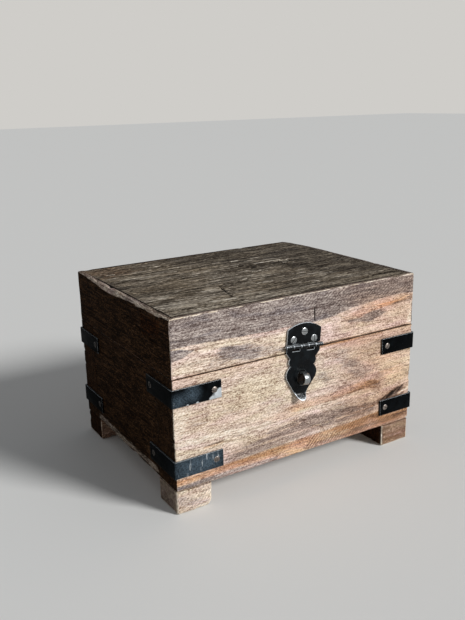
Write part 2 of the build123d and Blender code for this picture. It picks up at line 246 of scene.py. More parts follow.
def show(name: str, data: bpy.types.ID) -> bpy.types.Object:
    """Make an object of a mesh, lamp or camera and put it into the scene."""
    thing = bpy.data.objects.new(name, data)
    bpy.context.scene.collection.objects.link(thing)
    return thing


def smooth(low: float, high: float, value: np.ndarray) -> np.ndarray:
    """Smooth step of an array: 0 at low, 1 at high."""
    t = np.clip((value - low) / (high - low), 0, 1)
    return t * t * (3 - 2 * t)


class Noise:
    """Smooth seeded noise, worked out for whole arrays of points at once."""

    SIZE = 4096
    PRIMES = (73856093, 19349663, 83492791)  # they scramble a cell's three numbers

    def __init__(self, seed: int) -> None:
        """Fill the table of random values from the seed."""
        self.table = np.random.default_rng(seed).random(self.SIZE) * 2 - 1

    def at(self, points: np.ndarray, scale: float | Iterable[float], octaves: int = 1) -> np.ndarray:
        """Read the noise.

        Args:
            points: Places in millimetres, n by 3.
            scale: Size of a feature in millimetres, or its sizes along X, Y and Z.
            octaves: How many finer layers are added, each half as strong.

        Returns:
            One value from -1 to 1 for each place.
        """
        total = np.zeros(len(points))
        reach = 0.0
        for octave in range(octaves):
            share = 0.5**octave
            total += share * self._layer(points / np.array(scale) * 2**octave + 17.3 * octave)
            reach += share
        return total / reach

    def _layer(self, places: np.ndarray) -> np.ndarray:
        """One layer of value noise at these lattice places."""
        cell = np.floor(places).astype(np.int64)
        part = places - cell
        part = part * part * (3 - 2 * part)
        out = np.zeros(len(places))
        for corner in np.ndindex(2, 2, 2):
            code = (cell + corner) * self.PRIMES
            code = code[:, 0] ^ code[:, 1] ^ code[:, 2]
            x, y, z = np.where(corner, part, 1 - part).T
            out += x * y * z * self.table[code % self.SIZE]
        return out


# ---- What a board's surface carries ----


class Side(Enum):
    """A side of the chest: the axis that it faces along, and which way."""

    LEFT = (0, -1)
    RIGHT = (0, 1)
    FRONT = (1, -1)
    BACK = (1, 1)
    UNDER = (2, -1)
    TOP = (2, 1)

    def level(self, box: Box) -> float:
        """Where this side of a box lies along the axis that it faces."""
        axis, way = self.value
        return box[way > 0][axis]


class Tone(Enum):
    """What a mark changes in the timber, and its place in the painted values."""

    HEART = 0  # mauve heartwood
    STAIN = 1  # black-brown dirt
    WARM = 2  # orange-brown
    PALE = 3  # bare pale fibre
    SAW = 4  # diagonal marks of a circular saw
    AGED = 5  # the dark brown of a side never planed again, and painted shade on the left sides


@dataclass(frozen=True)
class Mark:
    """A patch, streak or crack on a board's marked side.

    Args:
        points: Its line or outline as (along, up) or (x, y) pairs.
        tones: How much it adds to each tone.
        width: Half width of a line, or how far a patch reaches past its outline.
        soft: Width over which it fades.
        ragged: How far its edge wanders.
        feather: How far its ends run out along the grain in streaks.
        closed: Whether the points are an outline.
        depth: How deep it is cut in.
    """

    points: tuple[Pair, ...]
    tones: dict[Tone, float]
    width: float = 0.0
    soft: float = 2.0
    ragged: float = 2.0
    feather: float = 0.0
    closed: bool = True
    depth: float = 0.0

    def weight(self, flat: np.ndarray, grain: int, noise: Noise) -> np.ndarray:
        """How strongly the mark covers each place.

        Args:
            flat: Places on the side, n by 2.
            grain: Which of the side's two directions the grain runs in.
            noise: The board's noise, for the ragged and feathered edge.

        Returns:
            One value from 0 to 1 for each place.
        """
        places = np.column_stack([flat, np.full(len(flat), self.points[0][0])])
        fine, broad = [1.7, 1.7, 9.0], [5.0, 5.0, 9.0]
        fine[grain], broad[grain] = 16.0, 14.0
        warped = flat.copy()
        warped[:, grain] += self.feather * noise.at(places, fine, 2)
        gap = self._distance(warped) + self.ragged * noise.at(places + 40, broad, 3)
        return smooth(self.width + self.soft / 2, self.width - self.soft / 2, gap)

    def _distance(self, flat: np.ndarray) -> np.ndarray:
        """Distance to the line, or to the outline and negative inside it."""
        corners = np.array(self.points, float)
        ends = np.roll(corners, -1, axis=0)
        if not self.closed:
            corners, ends = corners[:-1], ends[:-1]
        best = np.full(len(flat), np.inf)
        inside = np.zeros(len(flat), bool)
        for start, end in zip(corners, ends):
            run = end - start
            t = np.clip((flat - start) @ run / max(run @ run, 1e-9), 0, 1)
            best = np.minimum(best, np.linalg.norm(flat - start - t[:, None] * run, axis=1))
            if self.closed:
                crosses = (start[1] > flat[:, 1]) != (end[1] > flat[:, 1])
                rise = run[1] if run[1] else 1e-9
                reach = start[0] + (flat[:, 1] - start[1]) * run[0] / rise
                inside ^= crosses & (flat[:, 0] < reach)
        return np.where(inside, -best, best)


@dataclass(frozen=True)
class Wear:
    """One arris worn more than the rest.

    Args:
        sides: The two sides that meet at the arris.
        run: (place along the arris, reach on the first side, reach on the second) rows.
    """

    sides: tuple[Side, Side]
    run: tuple[Triple, ...]


@dataclass(frozen=True)
class Relief:
    """How uneven a board's surface is.

    Args:
        warp: Depth of the slow waves.
        ridge: Depth of the raised grain.
        arris: Mean radius of the chest's outer arrises.
        seam: Radius of the board's own edges.
        open_seam: What that changes by along the side that meets the other body.
        rub: How pale the outer arrises are rubbed.
        chips: How many chips its outer arrises have.
        chip: Largest reach of a chip.
    """

    warp: float = 0.35
    ridge: float = 0.22
    arris: float = 1.5
    seam: float = 0.75
    open_seam: float = -0.3
    rub: float = 0.95
    chips: int = 10
    chip: float = 4.0


# ---- Finishes ----


@dataclass(frozen=True)
class Ramp:
    """Colours of one kind of wood, from its open pores to its raised pale fibres."""

    dark: str
    mid: str
    light: str

    def at(self, nodes: Shader, value: Socket) -> Socket:
        """The colour at a value from 0 to 1."""
        node = add_node(nodes.tree, "ValToRGB", None, {0: value})
        stops = node.color_ramp.elements
        stops[0].position, stops[0].color = 0.08, linear(self.dark)
        stops[1].position, stops[1].color = 0.92, linear(self.light)
        stops.new(0.5).color = linear(self.mid)
        return node.outputs["Color"]


@dataclass(frozen=True)
class OldTimber:
    """Reclaimed mango wood, sawn and left bare: open grain with no gloss.

    Cream sapwood is crossed by mauve heartwood. Sides that were never planed again are
    dark brown, and the left sides get that dark brown as painted shade. The arrises
    are rubbed down to pale fibre. Sizes in mm are those of a feature along and
    across the grain.
    """

    name: str
    grain: int  # the axis that the grain runs along
    sap: Ramp = Ramp("7d675c", "d6cac1", "fef7f2")
    heart: Ramp = Ramp("4f403b", "8e807a", "cdc0b7")
    # Dark enough to be painted shade on the left sides, as well as the brown of sides never planed
    # again.
    aged: Ramp = Ramp("080402", "20140b", "523a26")
    rosy: str = "fdebe8"  # tints that sapwood drifts between
    straw: str = "fff7e2"
    warm_tint: str = "f0c69f"
    cool_tint: str = "dfe1e8"
    stain: str = "1a120d"
    pale: Ramp = Ramp("bfae98", "e6d6c1", "faf0e2")
    figure_mm: Pair = (60.0, 12.0)
    streak_mm: Pair = (36.0, 1.9)
    fibre_mm: Pair = (6.0, 1.0)  # drawn coarser than real fibre, to show
    speck_mm: Pair = (2.2, 0.8)
    fuzz_mm: Pair = (2.6, 0.9)  # fibres torn up by the saw
    fuzz_turn: float = 38.0  # their angle to the grain
    tint_mm: Pair = (70.0, 18.0)
    cool_mm: Pair = (38.0, 9.0)
    blotch_mm: Pair = (24.0, 10.0)
    line_mm: Pair = (70.0, 1.3)
    pore_mm: Pair = (4.5, 1.0)
    shares: tuple[float, ...] = (0.26, 0.20, 0.28, 0.26)  # of streaks, fibres, specks and fuzz
    contrast: float = 2.05
    wander: float = 0.5  # how far the figure carries heartwood into sapwood
    lines: float = 0.28  # darkness of the long grain lines
    pores: float = 0.28
    saw_mm: float = 3.3  # from one saw mark to the next
    saw_centre_mm: Triple = (700.0, 0.0, -560.0)  # of the saw's arcs
    saw_darkness: float = 0.7
    roughness: float = 0.82
    bump_mm: float = 0.4

    def material(self) -> bpy.types.Material:
        """Build the node material."""
        material = bpy.data.materials.new(self.name)
        nodes = Shader(material)
        place = nodes.place()
        layer = partial(self._layer, nodes, place)
        figure = layer(self.figure_mm, 3.0, 0.9)
        streak = layer(self.streak_mm, 3.0, 0.4, 0.20)
        fibre = layer(self.fibre_mm, 2.0, 0.2)
        speck = layer(self.speck_mm, 1.0, 0.0)
        blotch = layer(self.blotch_mm, 2.0, 0.8, 0.24)
        turn = grained(1 - self.grain, 0.0, math.radians(self.fuzz_turn))
        fuzz = self._layer(nodes, nodes.moved(place, Rotation=turn), self.fuzz_mm, 2.0, 0.3)
        tones = add_node(nodes.tree, "Attribute", {"attribute_name": "tone"}).outputs
        bare = tones["Alpha"]
        heart, stained, warm = add_node(
            nodes.tree, "SeparateColor", None, {"Color": tones["Color"]}
        ).outputs

        layers = zip((streak, fibre, speck, fuzz), self.shares)
        value = nodes.total((blotch, 0.16), (-0.08, 1.0), *layers)
        reach = 0.5 / self.contrast
        value = nodes.span(value, 0.5 - reach, 0.5 + reach)

        heart = nodes.total((heart, 1.0), (figure, self.wander), (streak, 0.35), (fibre, 0.2))
        drift = (self.wander + 0.55) / 2
        heart = nodes.step(heart, 0.22 + drift, 0.78 + drift)
        tint = layer(self.tint_mm, 2.0, 0.6, 0.15)
        tint = nodes.blend(tint, linear(self.rosy), linear(self.straw))
        sap = nodes.blend(1.0, self.sap.at(nodes, value), tint, "MULTIPLY")
        colour = nodes.blend(heart, sap, self.heart.at(nodes, value))
        cool = layer(self.cool_mm, 2.0, 0.5, 0.2)
        cool = nodes.step(nodes.total((cool, 1.0), (warm, -0.5)), 0.45, 0.9)
        cool = nodes.product(cool, heart)
        colour = nodes.blend(cool, colour, linear(self.cool_tint), "MULTIPLY")
        # Aged brown, which on the left sides is painted shade; it also lowers the sheen there.
        aged_shade_share = nodes.total((nodes.painted("aged"), 1.0), (streak, 0.3))
        aged_shade_share = nodes.step(aged_shade_share, 0.3, 1.0)
        colour = nodes.blend(aged_shade_share, colour, self.aged.at(nodes, value))
        warm = nodes.product(nodes.total((figure, 0.6), (streak, 0.6), (blotch, 0.2)), warm)
        colour = nodes.blend(warm, colour, linear(self.warm_tint), "MULTIPLY")
        bare = nodes.step(nodes.total((bare, 1.0), (fibre, 0.5), (speck, 0.2)), 0.55, 1.35)
        colour = nodes.blend(bare, colour, self.pale.at(nodes, value))

        pore = nodes.step(layer(self.pore_mm, 1.0, 0.0, 0.5), 0.40, 0.31)
        seam = nodes.step(layer(self.line_mm, 1.0, 0.25, 0.5), 0.36, 0.30)
        pore, seam = nodes.product(pore, self.pores), nodes.product(seam, self.lines)
        dark = nodes.math("MAXIMUM", pore, seam)
        colour = nodes.blend(dark, colour, linear(self.stain))
        hatch = self._hatch(nodes, place)
        broken = nodes.step(nodes.total((fibre, 0.5), (blotch, 0.6)), 0.2, 0.8)
        hatch = nodes.product(nodes.product(hatch, nodes.painted("saw")), broken)
        sawn = nodes.product(hatch, self.saw_darkness)
        colour = nodes.blend(sawn, colour, linear(self.stain))
        stained = nodes.step(nodes.total((stained, 1.0), (streak, 0.3)), 0.3, 1.05)
        colour = nodes.blend(stained, colour, linear(self.stain))

        height = nodes.total((value, 0.8), (fibre, 0.2), (dark, -0.9), (hatch, -0.7))
        rough = nodes.span(fibre, 0.0, 1.0, self.roughness - 0.06, self.roughness + 0.08)
        sheen = nodes.span(aged_shade_share, 0.0, 1.0, 0.1, 0.02)
        nodes.finish(colour, rough, sheen, Normal=nodes.bump(height, self.bump_mm))
        return material

    def _layer(
        self,
        nodes: Shader,
        place: Socket,
        size: Pair,
        detail: float,
        twist: float,
        spread: float = 0.22,
    ) -> Socket:
        """Noise stretched along the grain, with its contrast raised.

        Args:
            nodes: The material's nodes.
            place: The object coordinates.
            size: Size of a feature along and across the grain.
            detail: How many finer layers it has.
            twist: How much it is distorted.
            spread: How far from its mean the noise reaches 0 or 1.

        Returns:
            A value from 0 to 1.
        """
        scale = grained(self.grain, 1 / (size[1] * MM), 1 / (size[0] * MM))
        noise = nodes.noise(nodes.moved(place, Scale=scale), 1.0, detail, 0.62, twist)
        return nodes.span(noise, 0.5 - spread, 0.5 + spread)

    def _hatch(self, nodes: Shader, place: Socket) -> Socket:
        """The arcs of a circular saw."""
        arcs = nodes.moved(place, Location=[-c * MM for c in self.saw_centre_mm])
        # A wave texture repeats every pi / 10 units.
        inputs = {"Vector": arcs, "Scale": math.pi / 10 / (self.saw_mm * MM), "Distortion": 3.5,
                  "Detail": 2.0, "Detail Scale": 0.35}
        return nodes.node("TexWave", inputs, "Fac", wave_type="RINGS", rings_direction="Y")


@dataclass(frozen=True)
class WornMetal:
    """Sheet iron or steel with a dull skin that is rubbed through at the arrises.

    Black iron has a thin black oxide and lacquer: a low sheen with paler smears.
    Bright steel shows as bare metal, and browned steel as a rust skin. Painted shade
    darkens the recesses and the faces turned to the left, arrises turned up and left
    are painted bright as highlights, sheen spots add painted sheen, and bare spots add
    bare metal that gives a painted highlight. A spot is its x, y, z and reach.
    """

    name: str
    skin: str
    smear: str
    bare: str
    skin_metallic: float
    skin_roughness: float
    smear_share: float
    bare_roughness: float = 0.36
    arris_mm: float = 1.1  # how far in from an arris it is rubbed
    highlit_side: Triple = (-0.75, 0.0, 0.65)  # arrises facing this way are painted bright, as highlights
    rub_and_glint: float = 0.35  # how strongly those are painted bright, and how much its cut edges are rubbed
    specular: float = 0.5
    rubbed: float = 0.55
    grit_mm: float = 1.1
    dent_mm: float = 9.0  # from one dent to the next
    dent_depth_mm: float = 0.12
    recess_mm: float = 1.6  # how near another face a place gets painted shade
    slot: str = "black_iron"
    painted_sheen: str = "8f9499"  # painted sheen: a bluish reflection
    recess_shade: str = "0e0c0b"  # painted shade in the recesses
    # Painted shade for faces turned to the left.
    left_shade_colour: str = "0a0c0d"
    matt: float = 0.85  # how far faces turned to the left are made matt and painted black, as shade
    # Bare metal, placed to give a painted highlight as well as wear.
    bare_glint_spots: tuple[Spot, ...] = ()
    # Spots of painted sheen.
    sheen_spots: tuple[Spot, ...] = ()

    def material(self) -> bpy.types.Material:
        """Build the node material."""
        material = bpy.data.materials.new(self.name)
        nodes = Shader(material)
        place = nodes.place()
        cloud = nodes.noise(place, 1 / (self.dent_mm * MM), 4.0, 0.6)
        grit = nodes.noise(place, 1 / (self.grit_mm * MM), 3.0, 0.65)
        scratch = nodes.moved(place, Rotation=(0.5, 0.9, 0.7), Scale=(900.0, 60.0, 60.0))
        scratch = nodes.span(nodes.noise(scratch, 1.0, 1.0), 0.62, 0.70)
        smear = nodes.step(cloud, 0.42, 0.72, self.smear_share)
        colour = nodes.blend(smear, linear(self.skin), linear(self.smear))
        # Painted sheen within the sheen spots.
        sheened = self._near(nodes, place, self.sheen_spots, 0.0)
        speckled = nodes.span(grit, 0.42, 0.6, 0.25)
        colour = nodes.blend(nodes.product(sheened, speckled), colour, linear(self.painted_sheen))

        flat = nodes.node("NewGeometry", None, "Normal")
        edge = self._arrises(nodes, flat)
        edge = nodes.math("MULTIPLY_ADD", nodes.painted("rubbed"), self.rub_and_glint, edge)
        edge = nodes.math("MULTIPLY_ADD", nodes.product(scratch, sheened), 0.6, edge)
        # Bare spots: worn metal that also gives a painted highlight.
        edge = self._near(nodes, place, self.bare_glint_spots, edge)
        edge = nodes.math("MULTIPLY_ADD", grit, 0.9, edge)
        edge = nodes.step(edge, 0.75, 1.25, self.rubbed)
        colour = nodes.blend(edge, colour, linear(self.bare))
        # Painted shade in the recesses, where ambient occlusion finds other faces near.
        recess = nodes.node("AmbientOcclusion", {"Distance": self.recess_mm * MM}, "AO", samples=8)
        recess = nodes.span(recess, 0.9, 0.35, 0.0, 0.85)
        colour = nodes.blend(recess, colour, linear(self.recess_shade))
        # Painted shade: faces turned to the left go black and lose their sheen.
        leftward = nodes.vector_math("DOT_PRODUCT", flat, (-1.0, 0.0, 0.0))
        matt = nodes.span(leftward, 0.7, 0.95, 0.0, self.matt)
        colour = nodes.blend(matt, colour, linear(self.left_shade_colour))

        metallic = nodes.span(edge, 0.0, 1.0, self.skin_metallic, 1.0)
        metallic = nodes.span(matt, 0.0, 1.0, metallic, 0.0)
        sheen = nodes.span(matt, 0.0, 1.0, self.specular, 0.0)
        skin = self.skin_roughness
        rough = nodes.span(cloud, 0.35, 0.65, skin - 0.09, skin + 0.1)
        rough = nodes.span(edge, 0.0, 1.0, rough, self.bare_roughness)
        height = nodes.math("MULTIPLY_ADD", grit, 0.25, cloud)
        normal = nodes.bump(height, self.dent_depth_mm, 0.8)
        nodes.finish(colour, rough, sheen, Metallic=metallic, Normal=normal)
        return material

    def _arrises(self, nodes: Shader, flat: Socket) -> Socket:
        """How much of an arris a place is: there a rounded normal leaves the true one."""
        eased = nodes.node("Bevel", {"Radius": self.arris_mm * MM}, samples=6)
        lean = nodes.vector_math("SUBTRACT", eased, flat, output="Vector")
        turned = nodes.vector_math("LENGTH", lean)
        # Arrises that lean towards the highlit side are painted bright, as highlights.
        sided = nodes.vector_math("DOT_PRODUCT", lean, self.highlit_side)
        turned = nodes.span(turned, 0.1, 0.6, 0.0, 0.4)
        return nodes.math("ADD", turned, nodes.span(sided, 0.05, 0.4, 0.0, self.rub_and_glint))

    @staticmethod
    def _near(nodes: Shader, place: Socket, spots: Iterable[Spot], start: object) -> Socket:
        """Add to a value 1 in the middle of each spot, and nothing past its reach."""
        for *centre, reach in spots:
            away = nodes.vector_math("DISTANCE", place, [value * MM for value in centre])
            start = nodes.math("ADD", nodes.step(away, reach * MM, 0.0), start)
        return start


MANGO_X = OldTimber("old_mango_x", 0)
MANGO_Y = OldTimber("old_mango_y", 1)
WEATHERED = OldTimber(
    "weathered_top",
    0,
    sap=Ramp("2a241d", "6a6054", "b7ac9c"),
    heart=Ramp("1f1914", "4c4339", "8f8474"),
    rosy="ffffff",
    straw="fff8ec",
    warm_tint="e0b48c",
    stain="15110c",
    pale=Ramp("8f8576", "bdb2a1", "ddd4c6"),
    figure_mm=(120.0, 22.0),
    streak_mm=(75.0, 2.6),
    fibre_mm=(16.0, 1.4),
    speck_mm=(4.0, 1.4),
    blotch_mm=(60.0, 16.0),
    line_mm=(170.0, 2.0),
    shares=(0.40, 0.30, 0.30, 0.0),
    contrast=2.0,
    pores=0.4,
    lines=0.85,
    bump_mm=0.8,
)
BLACK_IRON = WornMetal(
    "black_iron",
    "040506",
    "0f1417",
    "dde4e9",
    0.1,
    0.32,
    0.5,
    painted_sheen="4d5b66",
    rubbed=0.95,
    specular=0.03,
    bare_roughness=0.55,
    # Bare metal at the front left upper strap's end, as its painted highlight.
    bare_glint_spots=(
        (-108.5, -123.5, 122.5, 12.5),
        (-106.0, -123.5, 126.5, 6.0),
        (-117.0, -123.5, 120.5, 4.5),
        (-133.0, -123.5, 120.0, 3.2),
        (-144.0, -123.5, 120.0, 2.6),
    ),
    # Painted sheen on the front left straps.
    sheen_spots=(
        (-154.0, -123.5, 125.0, 14.0),
        (-138.0, -123.5, 131.0, 14.0),
        (-145.0, -123.5, 52.0, 32.0),
        (-118.0, -123.5, 54.0, 28.0),
    ),
)
HASP_IRON = replace(
    BLACK_IRON,
    name="black_iron_hasp",
    skin="07090b",
    smear="151c20",
    specular=0.12,
    rub_and_glint=1.0,
    matt=0.0,
    bare_glint_spots=(),
    sheen_spots=(),
)
BRIGHT_STEEL = WornMetal(
    "bright_steel", "9fa3a4", "686a6a", "d8dadb", 1.0, 0.34, 0.4, rubbed=0.7, matt=0.0,
    slot="bright_steel",
)
BROWNED_STEEL = WornMetal(
    "browned_steel", "5a514b", "8c8178", "bab2ab", 0.6, 0.5, 0.8, rubbed=0.6, slot="rusted_steel"
)


# ---- Boards ----


@dataclass
class Block:
    """A box of cells in three directions, some of them empty, and its outer skin.

    Args:
        ticks: The cell limits along X, Y and Z.
        filled: Which cells are solid.
    """

    ticks: tuple[np.ndarray, np.ndarray, np.ndarray]
    filled: np.ndarray

    def skin(self) -> tuple[np.ndarray, np.ndarray]:
        """Find the faces between solid and empty cells.

        Returns:
            The vertices, n by 3, and the quads as rows of four vertex numbers.
        """
        counts = [len(t) for t in self.ticks]
        padded = np.pad(self.filled, 1)
        rows = []
        for axis in range(3):
            cells = np.moveaxis(padded, axis, 0).astype(np.int8)
            step = cells[1:] - cells[:-1]
            for sign in (1, -1):
                plane, b, c = np.nonzero(step == sign)
                corners = []
                for db, dc in ((0, 0), (1, 0), (1, 1), (0, 1)):
                    index = [b - 1 + db, c - 1 + dc]
                    index.insert(axis, plane)
                    corners.append(index[0] + counts[0] * (index[1] + counts[1] * index[2]))
                quads = np.column_stack(corners)
                outward = (sign < 0) == (axis != 1)
                rows.append(quads if outward else quads[:, ::-1])
        used, quads = np.unique(np.vstack(rows), return_inverse=True)
        x = self.ticks[0][used % counts[0]]
        y = self.ticks[1][used // counts[0] % counts[1]]
        z = self.ticks[2][used // (counts[0] * counts[1])]
        return np.column_stack([x, y, z]), quads.reshape(-1, 4)


def ticks_between(low: float, high: float, step: float, stops: Iterable[float]) -> np.ndarray:
    """Cell limits from low to high, closer together near both ends.

    Args:
        low: The first limit.
        high: The last limit.
        step: Size of the cells in the middle.
        stops: Further limits that have to be met.

    Returns:
        The limits in rising order.
    """
    near = np.array([0.0, 0.3, 0.7, 1.2, 1.9, 2.8, 4.0])
    count = max(2, round((high - low - 2 * near[-1]) / step) + 1)
    inner = np.linspace(low + near[-1], high - near[-1], count)
    plain = np.unique(np.concatenate([low + near, inner, high - near]).round(4))
    stops = [s for s in stops if low + 0.1 < s < high - 0.1]
    for stop in stops:
        plain = plain[np.abs(plain - stop) > 0.25]
    return np.unique(np.concatenate([plain, stops]))


@dataclass
class Board:
    """One board, worn and marked, in place of its CAD node.

    Args:
        node: The CAD node that it stands for.
        body: The body that it rides on.
        slot: The record's material slot; not used.
        timber: Its finish.
        envelope: Lowest and highest corner of the assembly whose outside it shares.
        relief: How uneven it is.
        marks: Its patches, streaks and cracks.
        face: The side that they lie on.
        wear: Arrises that are worn more than the rest.
        hollows: Boxes that are cut out of it.
        bore: Radius and depth of a round hole up from the middle of its underside.
        mitred: Whether its ends are cut at 45 degrees.
        open_side: The side that meets the other body, whose arrises are rubbed more.
        base: How much of each tone it has all over.
        sides: How much of each tone a side adds.
        splits: Places along the grain where a crack across it needs finer cells.
        fine: Cell size across the grain.
        stretch: How many times longer a cell is along the grain.
        seed: Of its random numbers.
    """

    node: str
    body: str
    slot: str
    timber: OldTimber
    envelope: Box
    relief: Relief = Relief()
    marks: tuple[Mark, ...] = ()
    face: Side = Side.FRONT
    wear: tuple[Wear, ...] = ()
    hollows: tuple[Box, ...] = ()
    bore: Pair | None = None
    mitred: bool = False
    open_side: Side | None = None
    base: dict[Tone, float] = field(default_factory=dict)
    sides: dict[Side, dict[Tone, float]] = field(default_factory=dict)
    splits: tuple[float, ...] = ()
    fine: float = 1.0
    stretch: float = 2.6
    seed: int = 1

    # Where an effect of the rounding starts and is complete, by how far it moves a point.
    PALED = (0.06, 0.5)  # the arris is rubbed down to pale fibre
    CLEANED = (0.1, 0.5)  # the aged brown and its painted shade are gone
    SOILED = (0.03, 0.22)  # a joint holds dirt
    SWEPT = (0.05, 0.3)  # a joint's dirt is rubbed off at an outer arris
    DIRT = 0.9  # darkness of a joint
    SKIN = 2.0  # depth over which the unevenness dies out
    WEAR_REACH = (26.0, 14.0)  # from an arris: where its extra wear is gone, and is whole
    MARK_REACH = 2.5  # how far a mark wraps round its face's arrises
    HARD_ANGLE = 62.0  # a sharper edge than this stays sharp to the eye

    def build(self, middle: np.ndarray) -> bpy.types.Object:
        """Make the board's mesh and object.

        Args:
            middle: The floor below the middle of the case, from which marks are measured.

        Returns:
            The new object, riding on its body.
        """
        self.low, self.high = node_box(self.node)
        self.noise = Noise(self.seed)
        if self.bore:
            radius, depth = self.bore
            centre = (self.low + self.high) / 2
            corner = np.append(centre[:2] + radius, self.low[2] + depth)
            self.hollows += ((np.append(centre[:2] - radius, self.low[2] - 1), corner),)
        cells, quads = self._cells().skin()
        cells = self._bored(cells) if self.bore else cells
        rest = self._mitre(cells) if self.mitred else cells

        seam = self._varied(cells, self.relief.seam, 14.0, 2)
        if self.open_side:
            seam += self.relief.open_seam * self._near(cells, self.open_side, 3.0)[:, None]
        eased = rounded(cells, self.low, self.high, seam)
        eased = self._mitre(eased) if self.mitred else eased
        dirt = np.linalg.norm(eased - rest, axis=1)
        radius = self._varied(rest, self.relief.arris, 22.0, 3)
        self._widen(radius, rest, middle)
        places = rounded(eased, *self.envelope, radius)
        worn = np.linalg.norm(places - eased, axis=1)

        depth = np.minimum(rest - self.low, self.high - rest).min(1).clip(0)
        sink = self._uneven(rest) * np.exp(-depth / self.SKIN) + self._chipped(rest, worn)
        tones = self._toned(rest)
        places = places + self._inward(rest) * sink[:, None] + self._marked(tones, rest, middle)
        self._soil(tones, rest, worn, dirt)
        return self._object(places, quads, tones)

    def _cells(self) -> Block:
        """The board as a block of cells, with its hollows left empty."""
        ticks = []
        for axis in range(3):
            step = self.fine
            stops = [corner[axis] for box in self.hollows for corner in box]
            if axis == self.timber.grain:
                step = self.stretch * self.fine
                stops += [place + off for place in self.splits for off in (-1.2, -0.5, 0, 0.5, 1.2)]
            ticks.append(ticks_between(self.low[axis], self.high[axis], step, stops))
        middles = [(t[1:] + t[:-1]) / 2 for t in ticks]
        filled = np.ones([len(m) for m in middles], bool)
        for low, high in self.hollows:
            inside = [(m > low[axis]) & (m < high[axis]) for axis, m in enumerate(middles)]
            filled &= ~(inside[0][:, None, None] & inside[1][None, :, None] & inside[2])
        return Block(tuple(ticks), filled)

    def _bored(self, points: np.ndarray) -> np.ndarray:
        """Draw the bore's square opening in to a circle."""
        radius, depth = self.bore
        off = (points - (self.low + self.high) / 2)[:, :2]
        square = np.abs(off).max(1)
        shrink = square / np.maximum(np.linalg.norm(off, axis=1), 1e-9)
        share = smooth(radius + 5, radius, square)
        share *= smooth(depth + 6, depth, points[:, 2] - self.low[2])
        out = points.copy()
        out[:, :2] += off * (share * (shrink - 1))[:, None]
        return out

    def _mitre(self, points: np.ndarray) -> np.ndarray:
        """Slant the board's ends by 45 degrees, away from its outer side."""
        along = self.timber.grain
        across = 1 - along
        centre = (self.envelope[0] + self.envelope[1]) / 2
        outside = self.high if self.low[across] > centre[across] else self.low
        half = (self.high[along] - self.low[along]) / 2
        mid = (self.high[along] + self.low[along]) / 2
        share = 1 - np.abs(points[:, across] - outside[across]) / half
        out = points.copy()
        out[:, along] = mid + (points[:, along] - mid) * share
        return out

    def _varied(
        self, points: np.ndarray, radius: float, wave: float, octaves: int
    ) -> np.ndarray:
        """A radius along each axis for each point, up to half above or below its mean."""
        out = np.full((len(points), 3), radius)
        out *= (1 + 0.5 * self.noise.at(points, wave, octaves))[:, None]
        return out

    def _near(self, rest: np.ndarray, side: Side, reach: float) -> np.ndarray:
        """How close each point is to a side: 1 on it, falling off over the reach."""
        off = rest[:, side.value[0]] - side.level((self.low, self.high))
        return np.exp(-np.abs(off) / reach)

    def _inward(self, rest: np.ndarray) -> np.ndarray:
        """Unit vectors from each point into the board."""
        rim = 3.0
        away = rest - np.clip(rest, self.low + rim, self.high - rim)
        return -away / np.maximum(np.linalg.norm(away, axis=1), 1e-6)[:, None]

    def _widen(self, radius: np.ndarray, rest: np.ndarray, middle: np.ndarray) -> None:
        """Widen the rounding along the arrises that are worn more, in place."""
        centre = (self.envelope[0] + self.envelope[1]) / 2
        for wear in self.wear:
            near = np.ones(len(rest), bool)
            gap = np.zeros(len(rest))
            for side in wear.sides:
                axis, way = side.value
                near &= (rest[:, axis] - centre[axis]) * way > 0
                gap = np.maximum(gap, np.abs(rest[:, axis] - side.level(self.envelope)))
            share = smooth(*self.WEAR_REACH, gap[near])
            along = 3 - wear.sides[0].value[0] - wear.sides[1].value[0]
            run = np.array(wear.run)
            at = rest[near, along] - middle[along]
            jitter = 1 + 0.2 * self.noise.at(rest[near], 16.0, 2)
            # Wear that reaches along one side is a radius on the other side's axis.
            for side, column in zip(reversed(wear.sides), (1, 2)):
                axis = side.value[0]
                wider = np.interp(at, run[:, 0], run[:, column]) * jitter
                radius[near, axis] += share * (wider - radius[near, axis])

    def _uneven(self, rest: np.ndarray) -> np.ndarray:
        """Depth of the slow waves and the raised grain at each point."""
        slow = grained(self.timber.grain, 34.0, 90.0)
        quick = grained(self.timber.grain, 2.6, 34.0)
        wave = 0.5 + 0.5 * self.noise.at(rest + 31.7, slow, 3)
        grain = 0.5 + 0.5 * self.noise.at(rest + 77.1, quick, 2)
        return self.relief.warp * wave + self.relief.ridge * grain

    def _chipped(self, rest: np.ndarray, worn: np.ndarray) -> np.ndarray:
        """Depth of the chips along the envelope's arrises."""
        rng = np.random.default_rng(self.seed + 500)
        edge = np.flatnonzero(worn > 0.25)
        sink = np.zeros(len(rest))
        for _ in range(self.relief.chips if len(edge) else 0):
            centre = rest[rng.choice(edge)]
            reach = np.full(3, self.relief.chip * rng.uniform(0.3, 1.0))
            reach[self.timber.grain] *= rng.uniform(1.2, 2.6)
            off = np.linalg.norm((rest - centre) / reach, axis=1)
            off += 0.3 * self.noise.at(rest, 3.0, 2)
            sink += np.clip(1 - off, 0, 1) * reach.min() * rng.uniform(0.25, 0.5)
        return sink

    def _toned(self, rest: np.ndarray) -> np.ndarray:
        """The tones of the board and of its sides, before any mark."""
        tones = np.zeros((len(rest), len(Tone)))
        for tone, amount in self.base.items():
            tones[:, tone.value] = amount
        for side, changes in self.sides.items():
            for tone, amount in changes.items():
                tones[:, tone.value] += amount * self._near(rest, side, 1.0)
        return tones

